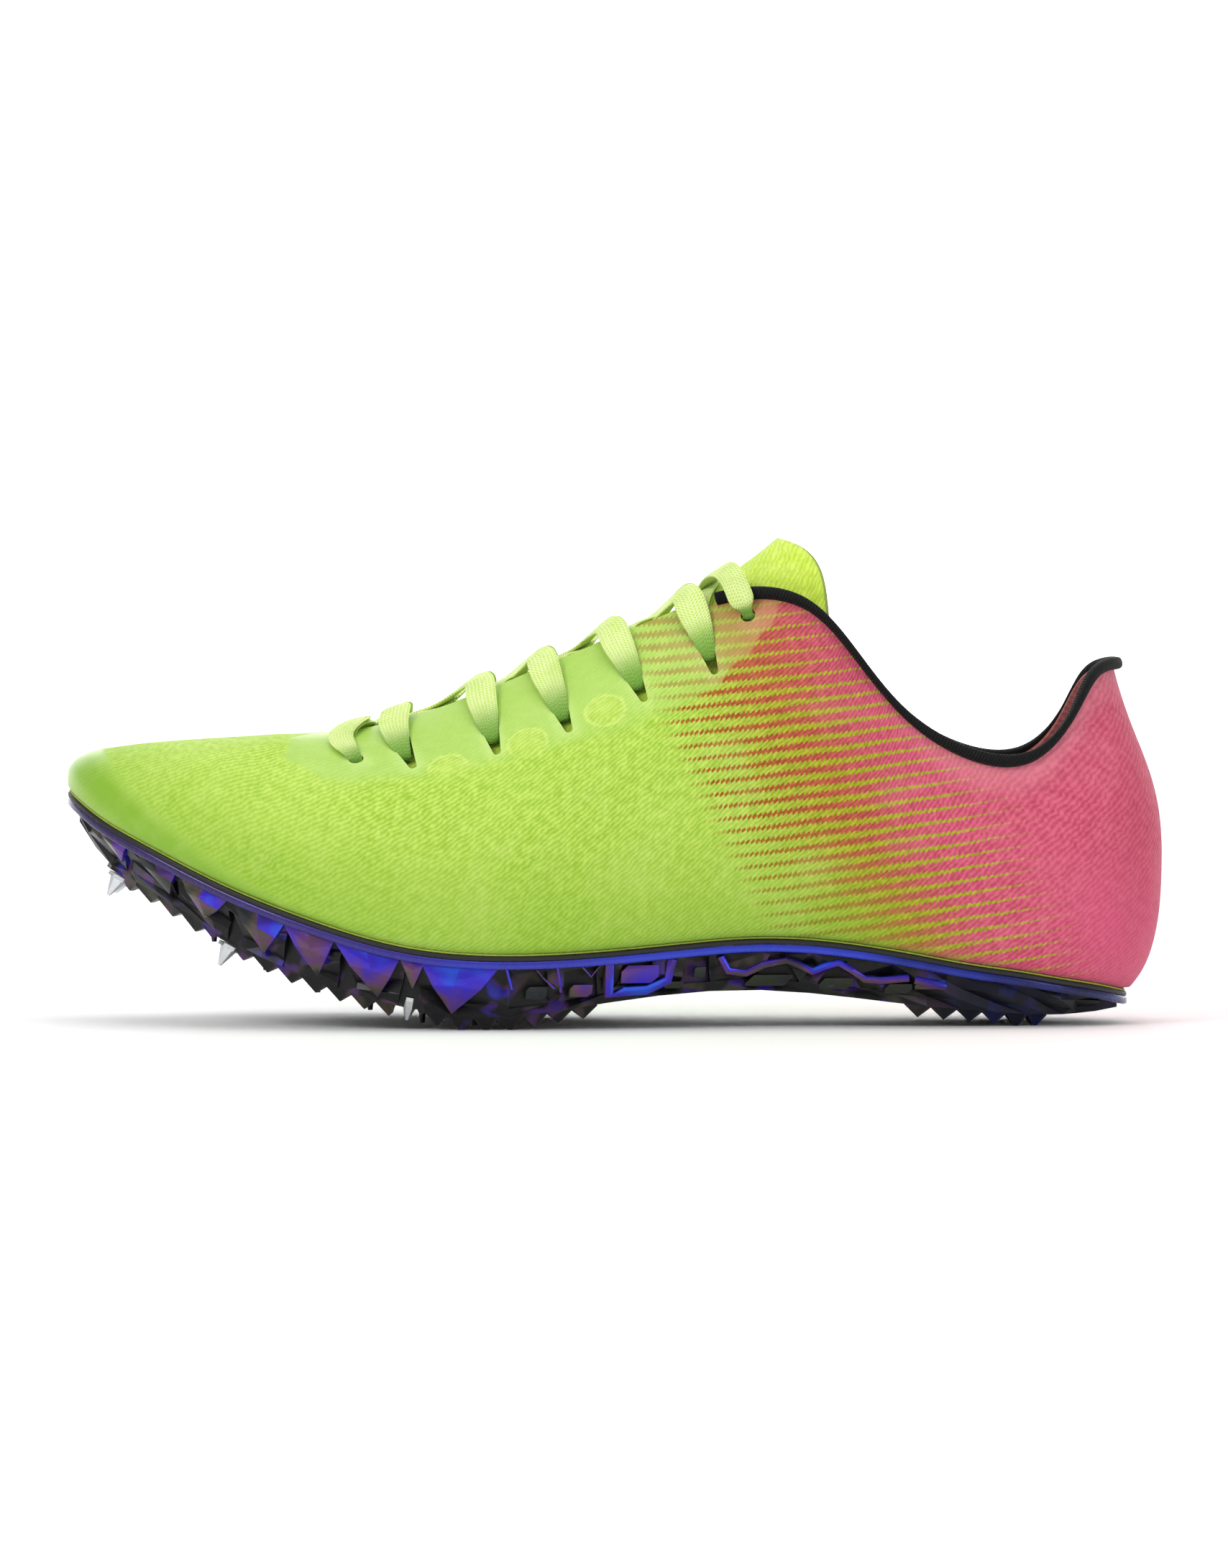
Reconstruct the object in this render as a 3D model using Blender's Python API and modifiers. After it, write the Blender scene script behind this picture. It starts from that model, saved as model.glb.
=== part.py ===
"""Track spike shoe, left foot, standing empty on its moulded teeth.

Metres, +Z up, +X from toe to heel, -Y the lateral side.
The origin is on the floor under the middle of the shoe.
"""

import math
from collections import namedtuple

import bmesh
import bpy
import numpy as np
from mathutils import Matrix, Vector

# Driving sizes of the last and the upper
LENGTH = 0.280
BALL_WIDTH = 0.092
TOE_LIFT = 0.059
INSTEP = 0.111
ANKLE = 0.0696
HEEL = 0.0933
WALL = 0.0016
LASTING_MARGIN = 0.008
FILM_STEP = 0.0004
EYESTAY_WIDTH = 0.028
GAP = 0.0004

# Collar binding
BINDING_HEIGHT = 0.0032
BINDING_WIDTH = 0.0034

# Spike plate
PLATE_DEPTH = 0.0150
PLATE_SHEET = 0.0024
PLATE_INSET_TOE = 0.0050
PLATE_INSET_HEEL = 0.0090
RIM_HEIGHT = 0.0024
RIM_REACH = 0.0005
SKIRT_WIDTH = 0.0062
RIB_WIDTH = 0.0020
FACET_DEPTH = 0.0030
TOOTH_HEIGHT = 0.0032
TOOTH_RADIUS = 0.0022
TOOTH_FLAT = 0.0006
COMB_INSET = 0.0035

# Metal pins
PIN_LENGTH = 0.0058
PIN_RADIUS = 0.0022
PIN_POINT = 0.0004
PIN_COLLAR_RADIUS = 0.0030
PIN_COLLAR_HEIGHT = 0.0010
BOSS_RADIUS = 0.0042
BOSS_DROP = 0.0008

# Tongue, insole and lace
TONGUE_THICKNESS = 0.0016
TONGUE_HEIGHT = 0.1240
INSOLE_THICKNESS = 0.0025
LACE_WIDTH = 0.0062
LACE_THICKNESS = 0.0011
SLOT_LENGTH = 0.0170
SLOT_WIDTH = 0.0044
SLOT_TIP = 0.0018
EYELET_RADIUS = 0.0019

# One row for each section of the last, from the toe tip to the back of the heel.
# along, edge_along: shares of LENGTH from the middle of the shoe, toe first.
# lateral, medial, belly_*, edge_lateral, edge_medial: shares of BALL_WIDTH out from the middle line.
# lift: the feather line over the floor, a share of TOE_LIFT.
# depth: the plate under it, a share of PLATE_DEPTH.
# belly_up: where the wall stands out furthest, a share of its rise.
# full: how square the wall turns in above it. lean: the wall at its top edge, in degrees from upright.
# edge_up: the finished top edge over the floor, a share of the height at the end of the row.
Section = namedtuple(
    "Section",
    "along lateral medial lift depth belly_lateral belly_medial belly_up"
    " edge_along edge_lateral edge_medial edge_up lean full height",
)
SECTIONS = [
    (-0.4985, 0.1, -0.1, 1.0, 0.24, 0.005, 0.005, 0.26, -0.248, 0.016, -0.016, 0.671, 87, 0.74, INSTEP),
    (-0.473, -0.115, 0.292, 0.91, 0.58, 0.009, 0.009, 0.24, -0.2455, -0.036, 0.068, 0.67, 86, 0.71, INSTEP),
    (-0.425, -0.247, 0.388, 0.783, 0.71, 0.013, 0.013, 0.22, -0.239, -0.072, 0.104, 0.672, 82, 0.65, INSTEP),
    (-0.357, -0.352, 0.454, 0.624, 0.85, 0.017, 0.017, 0.2, -0.223, -0.091, 0.121, 0.68, 74, 0.58, INSTEP),
    (-0.2786, -0.433, 0.488, 0.478, 0.96, 0.02, 0.017, 0.2, -0.188, -0.098, 0.126, 0.702, 65, 0.54, INSTEP),
    (-0.193, -0.482, 0.484, 0.361, 0.99, 0.016, 0.017, 0.2, -0.136, -0.104, 0.128, 0.746, 58, 0.52, INSTEP),
    (-0.107, -0.49, 0.43, 0.32, 1.02, 0.018, 0.026, 0.21, -0.077, -0.112, 0.13, 0.807, 53, 0.51, INSTEP),
    (-0.021, -0.457, 0.357, 0.332, 0.87, 0.036, 0.052, 0.22, -0.011, -0.122, 0.134, 0.878, 49, 0.5, INSTEP),
    (0.057, -0.402, 0.3, 0.363, 0.81, 0.052, 0.074, 0.24, 0.055, -0.139, 0.141, 0.948, 44, 0.5, INSTEP),
    (0.129, -0.359, 0.268, 0.386, 0.85, 0.058, 0.084, 0.25, 0.118, -0.174, 0.168, 0.996, 37, 0.48, INSTEP),
    (0.186, -0.342, 0.268, 0.375, 0.88, 0.054, 0.078, 0.26, 0.173, -0.232, 0.217, 0.975, 30, 0.47, INSTEP),
    (0.232, -0.337, 0.28, 0.347, 0.87, 0.05, 0.064, 0.28, 0.214, -0.277, 0.257, 1.39, 20, 0.46, ANKLE),
    (0.275, -0.335, 0.295, 0.312, 0.83, 0.045, 0.053, 0.31, 0.26, -0.304, 0.28, 1.168, 14, 0.46, ANKLE),
    (0.321, -0.328, 0.305, 0.271, 0.75, 0.044, 0.044, 0.34, 0.32, -0.314, 0.292, 1.018, 13, 0.46, ANKLE),
    (0.368, -0.31, 0.299, 0.237, 0.69, 0.05, 0.048, 0.37, 0.376, -0.292, 0.278, 1.006, 13, 0.46, ANKLE),
    (0.407, -0.268, 0.262, 0.203, 0.59, 0.066, 0.064, 0.38, 0.41, -0.24, 0.232, 0.85, 12, 0.45, HEEL),
    (0.441, -0.182, 0.182, 0.171, 0.43, 0.088, 0.088, 0.4, 0.432, -0.154, 0.15, 0.972, 12, 0.45, HEEL),
    (0.466, 0.0, 0.0, 0.137, 0.22, 0.105, 0.105, 0.42, 0.4545, 0.0, 0.0, 1.0, 12, 0.45, HEEL),
]
SECTIONS = [Section(*row) for row in SECTIONS]
SIDE_ROWS = range(1, len(SECTIONS) - 1)


def smooth(t):
    t = min(max(t, 0.0), 1.0)
    return t * t * (3 - 2 * t)


def spline(knots, values, closed=False):
    """A cubic through the values at the knots, natural at its ends or closed."""
    knots = np.asarray(knots, float)
    values = np.asarray(values, float).reshape(len(values), -1)
    if closed:
        values = np.vstack([values, values[:1]])
    count = len(knots) - 1
    step = np.diff(knots)
    slope = np.diff(values, axis=0) / step[:, None]
    matrix = np.zeros((count + 1, count + 1))
    right = np.zeros((count + 1, values.shape[1]))
    for i in range(1, count):
        matrix[i, i - 1 : i + 2] = step[i - 1], 2 * (step[i - 1] + step[i]), step[i]
        right[i] = 6 * (slope[i] - slope[i - 1])
    if closed:
        matrix[0, [count - 1, 0, 1]] = step[-1], 2 * (step[-1] + step[0]), step[0]
        right[0] = 6 * (slope[0] - slope[-1])
        matrix[count, [0, count]] = 1, -1
    else:
        matrix[0, 0] = matrix[count, count] = 1
    bend = np.linalg.solve(matrix, right)

    def at(t):
        if closed:
            t = knots[0] + (t - knots[0]) % (knots[-1] - knots[0])
        i = min(max(int(np.searchsorted(knots, t)) - 1, 0), count - 1)
        a = (knots[i + 1] - t) / step[i]
        b = 1 - a
        cubic = ((a**3 - a) * bend[i] + (b**3 - b) * bend[i + 1]) * step[i] ** 2 / 6
        return a * values[i] + b * values[i + 1] + cubic

    return at


ALONG = [row.along * LENGTH for row in SECTIONS]
lift_along = spline(ALONG, [row.lift * TOE_LIFT for row in SECTIONS])
depth_along = spline(ALONG, [row.depth * PLATE_DEPTH for row in SECTIONS])


def sole_height(x):
    """The underside of the upper over the floor."""
    return float(lift_along(x)[0])


def plate_bottom(x):
    return sole_height(x) - GAP - float(depth_along(x)[0])


def rib_row(row, side):
    """One rib of the last: its feather point, its belly and its finished top edge."""
    across, belly, edge = (
        (row.lateral, row.belly_lateral, row.edge_lateral)
        if side < 0
        else (row.medial, row.belly_medial, row.edge_medial)
    )
    return [
        row.along * LENGTH,
        across * BALL_WIDTH,
        row.edge_along * LENGTH,
        edge * BALL_WIDTH,
        row.edge_up * row.height,
        belly * BALL_WIDTH,
        row.belly_up,
        row.lean,
        row.full,
    ]


def rib_table():
    """Ribs in order round the shoe: toe tip, lateral side, back of the heel, medial side."""
    ribs = [rib_row(row, -1) for row in SECTIONS]
    ribs += [rib_row(SECTIONS[i], 1) for i in reversed(SIDE_ROWS)]
    return np.array(ribs)


RIBS = rib_table()
HEEL_RIB = len(SECTIONS) - 1


def rib_knots():
    """How far round the shoe each rib is, from the steps along the feather line and along the top edge."""
    turn = np.vstack([RIBS, RIBS[:1]])
    low = np.linalg.norm(np.diff(turn[:, 0:2], axis=0), axis=1)
    high = np.linalg.norm(np.diff(turn[:, 2:5], axis=0), axis=1)
    return np.concatenate([[0], np.cumsum(0.6 * low + 0.4 * high)])


KNOTS = rib_knots()
rib_at = spline(KNOTS, RIBS, closed=True)


def station(rib):
    """The place round the shoe of a rib number, which may lie between two ribs."""
    rib = rib % len(RIBS)
    i = int(rib)
    return KNOTS[i] + (rib - i) * (KNOTS[i + 1] - KNOTS[i])


def feather(place):
    x, y = rib_at(place)[:2]
    return Vector((x, y, sole_height(x)))


def outward(place):
    """The direction away from the foot at the feather line, in plan."""
    step = 0.0005
    ahead = feather(place + step) - feather(place - step)
    return Vector((ahead.y, -ahead.x, 0)).normalized()


def bezier(a, b, c, d, t):
    s = 1 - t
    return a * s**3 + b * 3 * s * s * t + c * 3 * s * t * t + d * t**3


FINE = 24


def rib_line(place):
    """The outer skin of the upper from the feather line to the finished top edge, as a fine line."""
    foot = feather(place)
    _, _, edge_x, edge_y, edge_z, belly, belly_up, lean, full = rib_at(place)
    edge = Vector((edge_x, edge_y, edge_z))
    rise = edge_z - foot.z
    out = outward(place)
    up = Vector((0, 0, 1))
    wide = foot + out * belly + up * belly_up * rise
    leave = foot + out * belly * 0.67 + up * belly_up * rise * 0.13
    arrive = wide - up * belly_up * rise * 0.6
    low = [bezier(foot, leave, arrive, wide, t / 12) for t in range(12)]
    over = edge - wide
    inward = Vector((over.x, over.y, 0)).normalized()
    tilt = math.radians(lean)
    way = up * math.cos(tilt) + inward * math.sin(tilt)
    handle = wide + up * full * over.z
    back = edge - way * full * over.dot(way)
    high = [bezier(wide, handle, back, edge, t / FINE) for t in range(FINE + 1)]
    return low + high


def at_lengths(line, lengths):
    """Points of a line at these lengths from its start."""
    steps = [0.0]
    for a, b in zip(line, line[1:]):
        steps.append(steps[-1] + (b - a).length)
    found = []
    for want in lengths:
        i = min(max(int(np.searchsorted(steps, want)) - 1, 0), len(line) - 2)
        share = (want - steps[i]) / max(steps[i + 1] - steps[i], 1e-9)
        found.append(line[i].lerp(line[i + 1], share))
    return found


def length_of(line):
    return sum((b - a).length for a, b in zip(line, line[1:]))


# Places round the shoe, as rib numbers counted from the toe tip along the lateral side
BINDING_START = 8.25
BINDING_RAMP = 0.25
RAND_END = 5.3
EYESTAY_START = 1.6
EYESTAY_END = 8.6
# Holes down each side of the throat, from the front. Each lies on a line that starts at the throat's edge.
# rib: where the line starts. back: how many ribs it moves toward the heel in 10 mm.
# drop: the hole's top, or an eyelet's middle, below the edge. slot: a wedge slot, or else a round eyelet.
Hole = namedtuple("Hole", "rib back drop slot")
HOLES = [
    Hole(2.45, 0.68, 0.0230, False),
    Hole(3.82, 0.36, 0.0115, True),
    Hole(5.30, 0.19, 0.0125, True),
    Hole(6.22, 0.16, 0.0120, True),
    Hole(7.18, 0.15, 0.0095, True),
    Hole(8.25, 0.10, 0.0070, True),
    Hole(8.93, 0.10, 0.0078, False),
]


def rib_number(place):
    """The rib number of a place, folded so that both sides count from the toe tip."""
    place = place % KNOTS[-1]
    i = min(int(np.searchsorted(KNOTS, place, side="right")) - 1, len(RIBS) - 1)
    number = i + (place - KNOTS[i]) / (KNOTS[i + 1] - KNOTS[i])
    return min(number, len(RIBS) - number)


def rand_height(place):
    """How far the fused toe film reaches up the wall."""
    return 0.017 / 0.280 * LENGTH * (1 - smooth(rib_number(place) / RAND_END))


def in_eyestay(place):
    number = rib_number(place)
    return EYESTAY_START < number < EYESTAY_END


def binding_drop(place):
    """How much of the wall's top the binding takes."""
    share = smooth((rib_number(place) - BINDING_START) / BINDING_RAMP)
    return share * (BINDING_HEIGHT + GAP * 1.7)


LOW_ROWS, MIDDLE_ROWS, TOP_ROWS = 2, 3, 3


def wall_column(place):
    """The outer skin at one place, as points and the film's step at each."""
    line = rib_line(place)
    top = length_of(line) - binding_drop(place)
    film = rand_height(place)
    rand = max(film, 0.13 * top)
    stay = top - min(EYESTAY_WIDTH, 0.44 * top)
    edge_step = 0.0008
    lengths = list(np.linspace(0, rand, LOW_ROWS + 1))
    lengths += list(np.linspace(rand + edge_step, stay - edge_step, MIDDLE_ROWS))
    lengths += list(np.linspace(stay, top, TOP_ROWS + 1))
    steps = [FILM_STEP * smooth(film / 0.003)] * (LOW_ROWS + 1) + [0.0] * MIDDLE_ROWS
    steps += [FILM_STEP if in_eyestay(place) else 0.0] * (TOP_ROWS + 1)
    foot, out = feather(place), outward(place)
    inner = foot - out * LASTING_MARGIN
    inner.z = sole_height(inner.x)
    turn = foot - out * WALL * 1.6
    turn.z = sole_height(turn.x)
    points = at_lengths(line, lengths)
    points[0] = points[0] + Vector((0, 0, WALL * 0.9)) + out * WALL * 0.15
    return [inner, turn] + points, [0.0, 0.0] + steps


def new_object(name, mesh, collection):
    obj = bpy.data.objects.new(name, mesh)
    collection.objects.link(obj)
    return obj


def grid_mesh(name, columns, closed=False):
    """A sheet through columns of points."""
    mesh = bmesh.new()
    rows = [[mesh.verts.new(p) for p in column] for column in columns]
    pairs = list(zip(rows, rows[1:] + rows[:1])) if closed else list(zip(rows, rows[1:]))
    for a, b in pairs:
        for i in range(len(a) - 1):
            mesh.faces.new((a[i], b[i], b[i + 1], a[i + 1]))
    bmesh.ops.recalc_face_normals(mesh, faces=mesh.faces)
    bmesh.ops.triangulate(mesh, faces=mesh.faces, quad_method="SHORT_EDGE")
    return mesh_from(name, mesh)


def add_loft(mesh, loops):
    """Adds a closed solid through loops of points to a bmesh."""
    rings = [[mesh.verts.new(p) for p in loop] for loop in loops]
    faces = [mesh.faces.new(rings[0]), mesh.faces.new(rings[-1])]
    count = len(loops[0])
    for a, b in zip(rings, rings[1:]):
        for i in range(count):
            j = (i + 1) % count
            faces.append(mesh.faces.new((a[i], a[j], b[j], b[i])))
    bmesh.ops.recalc_face_normals(mesh, faces=faces)


def mesh_from(name, mesh):
    data = bpy.data.meshes.new(name)
    mesh.to_mesh(data)
    mesh.free()
    return data


def loft_mesh(name, loops):
    mesh = bmesh.new()
    add_loft(mesh, loops)
    return mesh_from(name, mesh)


def prism(mesh, low, high):
    """Adds a prism between two outlines of the same count to a bmesh."""
    add_loft(mesh, [low, high])


def boolean(obj, other, operation):
    cut = obj.modifiers.new(operation.lower(), "BOOLEAN")
    cut.operation = operation
    cut.object = other
    cut.solver = "EXACT"
    return cut


def solidify(obj, thickness, offset=-1):
    shell = obj.modifiers.new("wall", "SOLIDIFY")
    shell.thickness = thickness
    shell.offset = offset
    shell.use_even_offset = True
    shell.use_rim = True
    return shell


def material(name, colour, roughness, metallic=0.0):
    made = bpy.data.materials.new(name)
    made.use_nodes = True
    shader = made.node_tree.nodes["Principled BSDF"]
    shader.inputs["Base Color"].default_value = (*colour, 1)
    shader.inputs["Roughness"].default_value = roughness
    shader.inputs["Metallic"].default_value = metallic
    return made


COLUMNS_PER_RIB = 2


def shell_places():
    """The stations of the upper's columns round the shoe."""
    found = []
    for a, b in zip(KNOTS, KNOTS[1:]):
        found += [a + (b - a) * k / COLUMNS_PER_RIB for k in range(COLUMNS_PER_RIB)]
    return found


def stepped(columns, steps):
    """Pushes the outer skin out by each point's own step."""
    count = len(columns)
    moved = []
    for i, column in enumerate(columns):
        after, before = columns[(i + 1) % count], columns[i - 1]
        points = []
        for j, point in enumerate(column):
            high = column[min(j + 1, len(column) - 1)]
            low = column[max(j - 1, 0)]
            normal = (after[j] - before[j]).cross(high - low).normalized()
            points.append(point + normal * steps[i][j])
        moved.append(points)
    return moved


def skin_frame(rib, drop, side):
    """A point of the outer skin this far below the top edge, with its directions down, along and out."""
    place = station(rib if side < 0 else len(RIBS) - rib)
    line = rib_line(place)
    total = length_of(line)
    reach = total - drop
    point, higher, lower = at_lengths(line, [reach, reach + 0.001, reach - 0.001])
    near, far = (rib_line(place + step) for step in (-0.001, 0.001))
    behind, ahead = (at_lengths(other, [length_of(other) - drop])[0] for other in (near, far))
    along = (ahead - behind).normalized()
    normal = (lower - higher).cross(along).normalized()
    if normal.z < 0:
        normal.negate()
    down = along.cross(normal).normalized()
    if down.dot(lower - higher) < 0:
        down.negate()
    return point, down, along, normal


def slot_outline(length, wide, narrow, steps=3):
    """A teardrop outline: a round end, straight sides and a small round tip, pointing down +x."""
    points = []
    for k in range(steps + 1):
        turn = math.pi / 2 + math.pi * k / steps
        points.append((wide / 2 + math.cos(turn) * wide / 2, math.sin(turn) * wide / 2))
    for k in range(steps + 1):
        turn = -math.pi / 2 + math.pi * k / steps
        x = length - narrow / 2 + math.cos(turn) * narrow / 2
        points.append((x, math.sin(turn) * narrow / 2))
    return points


def hole_frame(hole, drop, side):
    """A skin frame on a hole's line, this far down from the throat's edge."""
    return skin_frame(hole.rib + hole.back * drop * 100, drop, side)


def slot_cutters():
    """Wedge slots and round eyelets down both sides of the throat, as one cutter."""
    mesh = bmesh.new()
    reach = WALL * 3
    turns = [math.tau * k / 8 for k in range(8)]
    ring = [(math.cos(t) * EYELET_RADIUS, math.sin(t) * EYELET_RADIUS) for t in turns]
    wedge = slot_outline(SLOT_LENGTH, SLOT_WIDTH, SLOT_TIP)
    for side in (-1, 1):
        for hole in HOLES:
            point = hole_frame(hole, hole.drop, side)[0]
            end = hole_frame(hole, hole.drop + (SLOT_LENGTH if hole.slot else EYELET_RADIUS), side)[0]
            down = (end - point).normalized()
            normal = hole_frame(hole, hole.drop + (SLOT_LENGTH / 2 if hole.slot else 0), side)[3]
            normal = (normal - down * normal.dot(down)).normalized()
            along = normal.cross(down)
            flat = [point + down * x + along * y for x, y in (wedge if hole.slot else ring)]
            prism(mesh, [p - normal * reach for p in flat], [p + normal * reach for p in flat])
    return mesh_from("lace_slots", mesh)


def make_upper(parts, cutters):
    places = shell_places()
    made = [wall_column(place) for place in places]
    columns = stepped([c for c, _ in made], [s for _, s in made])
    upper = new_object("upper", grid_mesh("upper", columns, closed=True), parts)
    solidify(upper, WALL)
    slots = new_object("lace_slots", slot_cutters(), cutters)
    boolean(upper, slots, "DIFFERENCE")
    return upper


def binding_frames():
    """Stations along the collar for the binding: the middle of the wall, with its directions up and out."""
    start = station(BINDING_START + BINDING_RAMP + 0.12)
    end = station(len(RIBS) - BINDING_START - BINDING_RAMP - 0.12)
    frames = []
    between = [place for place in shell_places() if start + 0.002 < place < end - 0.002]
    for place in [start, *between, end]:
        line = rib_line(place)
        total = length_of(line)
        top, low = at_lengths(line, [total, total - BINDING_HEIGHT])
        up = (top - low).normalized()
        beside = rib_line(place + 0.0005)[-1] - rib_line(place - 0.0005)[-1]
        out = up.cross(beside.normalized()).normalized()
        frames.append((low - out * WALL / 2, up, out))
    return frames


def make_binding(parts):
    """The binding as a bead with round edges, standing on the wall's top edge."""
    half, height = BINDING_WIDTH / 2, BINDING_HEIGHT
    outline = [(-0.8, 0), (0.8, 0), (1, 0.5), (0.65, 0.92), (0, 1), (-0.65, 0.92), (-1, 0.5)]
    loops = []
    for foot, up, out in binding_frames():
        loops.append([foot + out * x * half + up * y * height for x, y in outline])
    return new_object("collar_binding", loft_mesh("collar_binding", loops), parts)


def across_sole(share, inset):
    """A pair of points on the feather line, lateral and medial, this share of the way from toe to heel."""
    place = share * KNOTS[HEEL_RIB]
    other = KNOTS[-1] - share * (KNOTS[-1] - KNOTS[HEEL_RIB])
    return [feather(at) - outward(at) * inset for at in (place, other)]


def make_insole(parts):
    """A thin insole that lies on the lasting margin."""
    inset = WALL + 0.0014
    loops = []
    for share in [0.012, 0.03, 0.06] + [0.12 + 0.08 * k for k in range(10)] + [0.92, 0.965, 0.988]:
        lateral, medial = across_sole(share, inset)
        low, high = [], []
        for k in range(4):
            point = lateral.lerp(medial, k / 3)
            base = sole_height(point.x) + WALL + GAP * 2.8
            low.append(Vector((point.x, point.y, base)))
            high.append(Vector((point.x, point.y, base + INSOLE_THICKNESS)))
        loops.append(low + high[::-1])
    return new_object("insole", loft_mesh("insole", loops), parts)


# Each row of the tongue under the throat: the rib that it lies under, how far its sides reach down inside,
# and the height of its middle over the skin at the throat's edges
TongueRow = namedtuple("TongueRow", "rib reach crown")
TONGUE_ROWS = [
    TongueRow(1.5, 0.012, -0.0026),
    TongueRow(2.6, 0.022, -0.0018),
    TongueRow(3.6, 0.030, -0.0013),
    TongueRow(4.6, 0.034, -0.0010),
    TongueRow(5.6, 0.035, -0.0009),
    TongueRow(6.6, 0.033, -0.0009),
    TongueRow(7.5, 0.029, -0.0012),
    TongueRow(8.2, 0.022, -0.0014),
]
# Rows of its free end over the collar: the middle, the shoulder, the bend and the side edge of each, as
# (share of LENGTH back from the middle of the shoe, share of BALL_WIDTH across, share of TONGUE_HEIGHT)
TongueEnd = namedtuple("TongueEnd", "middle shoulder bend side")
TONGUE_ENDS = [
    TongueEnd((0.100, 0.000, 0.914), (0.107, 0.070, 0.905), (0.120, 0.125, 0.868), (0.139, 0.152, 0.798)),
    TongueEnd((0.127, 0.000, 0.960), (0.136, 0.076, 0.950), (0.152, 0.139, 0.907), (0.176, 0.176, 0.800)),
    TongueEnd((0.149, 0.000, 1.000), (0.169, 0.087, 0.984), (0.190, 0.152, 0.934), (0.199, 0.193, 0.838)),
]


def tongue_loft():
    columns = []
    for row in TONGUE_ROWS:
        depth = WALL + GAP * 4
        halves = []
        for side in (-1, 1):
            half = []
            for drop in (row.reach, row.reach * 0.66, row.reach * 0.33, 0.0008):
                point, _, _, normal = skin_frame(row.rib, drop, side)
                half.append(point - normal * depth)
            halves.append(half)
        lateral, medial = (skin_frame(row.rib, 0.0, side)[0] for side in (-1, 1))
        middle = (lateral + medial) / 2 + Vector((0, 0, row.crown))
        columns.append(halves[0] + [middle] + halves[1][::-1])
    for end in TONGUE_ENDS:
        column = []
        for side, spots in ((-1, end[::-1]), (1, end[1:])):
            for along, across, up in spots:
                column.append(Vector((along * LENGTH, across * BALL_WIDTH * side, up * TONGUE_HEIGHT)))
        columns.append(column)
    return columns


def smooth_columns(columns, across, along):
    """A finer sheet through a coarse one, by a cubic each way."""
    finer = []
    for column in columns:
        lengths = [0.0]
        for a, b in zip(column, column[1:]):
            lengths.append(lengths[-1] + max((b - a).length, 1e-5))
        curve = spline(lengths, [list(p) for p in column])
        finer.append([curve(lengths[-1] * k / across) for k in range(across + 1)])
    middle = across // 2
    knots = [0.0]
    for a, b in zip(finer, finer[1:]):
        knots.append(knots[-1] + float(np.linalg.norm(b[middle] - a[middle])))
    lines = [spline(knots, [row[k] for row in finer]) for k in range(across + 1)]
    return [[Vector(line(knots[-1] * j / along)) for line in lines] for j in range(along + 1)]


def make_tongue(parts):
    columns = smooth_columns(tongue_loft(), across=10, along=16)
    tongue = new_object("tongue", grid_mesh("tongue", columns), parts)
    solidify(tongue, TONGUE_THICKNESS)
    return tongue


def tongue_crown(rib):
    """How far the tongue's middle stands over the throat's edges at this rib."""
    ribs = [row.rib for row in TONGUE_ROWS] + [9.2]
    crowns = [row.crown for row in TONGUE_ROWS] + [0.0068]
    return float(np.interp(rib, ribs, crowns))


def lace_side(hole, side):
    """The lace from the throat's edge down over its hole: points, normals and shares of its width."""
    over = GAP + FILM_STEP + LACE_THICKNESS / 2
    if hole.rib > BINDING_START:
        over += (BINDING_WIDTH - WALL) / 2 + GAP * 1.8
    end = hole.drop + (SLOT_LENGTH * 0.36 if hole.slot else EYELET_RADIUS)
    found = []
    for share, lift, width in ((0.0, 1.35, 1.0), (0.35, 1.05, 1.0), (0.72, 1.0, 0.95), (1.0, 1.0, 0.5)):
        point, _, _, normal = hole_frame(hole, end * share, side)
        found.append((point + normal * over * lift, normal, width))
    return found


def lace_loops(path, steps):
    """A flat band along a path of points, normals and widths, as cross-sections."""
    lengths = [0.0]
    for a, b in zip(path, path[1:]):
        lengths.append(lengths[-1] + (b[0] - a[0]).length)
    line = spline(lengths, [[*point, *normal, width] for point, normal, width in path])
    loops = []
    for k in range(steps + 1):
        t = lengths[-1] * k / steps
        here = line(t)
        centre, normal, width = Vector(here[:3]), Vector(here[3:6]), min(max(here[6], 0.3), 1.0)
        way = (Vector(line(t + 0.0003)[:3]) - Vector(line(t - 0.0003)[:3])).normalized()
        wide = way.cross(normal).normalized()
        normal = wide.cross(way).normalized()
        half, thick = wide * width * LACE_WIDTH / 2, normal * LACE_THICKNESS / 2
        low, high = centre - thick, centre + thick
        loops.append([low - half, low + half, high + half, high - half])
    return loops


def throat_point(rib, share, side, lift):
    """A point over the throat, this share of the way across from one edge, with the throat's own normal."""
    near, far = skin_frame(rib, 0.0, side), skin_frame(rib, 0.0, -side)
    normal = (near[3] + far[3]).normalized()
    return near[0].lerp(far[0], share) + normal * lift, normal, 1.0


BAR_LIFT = GAP * 2 + FILM_STEP + LACE_THICKNESS


def lace_strand(start, end, side):
    """A strand that comes up beside one edge of the throat, crosses it and goes down on the other side."""
    middle = (start.rib + end.rib) / 2
    over = tongue_crown(middle) + GAP * 3.2 + LACE_THICKNESS / 2
    start_lift = BAR_LIFT - LACE_THICKNESS * 0.6 if start is HOLES[0] else 0.0
    path = [
        throat_point(start.rib + 0.15, 0.15, side, start_lift),
        throat_point(middle, 0.5, side, over),
    ]
    return lace_loops(path + lace_side(end, -side), 10)


def front_bar():
    """The straight piece of lace across the front of the throat."""
    first = HOLES[0]
    middle = throat_point(first.rib, 0.5, 1, BAR_LIFT)
    return lace_loops(lace_side(first, -1)[::-1] + [middle] + lace_side(first, 1), 14)


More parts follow.
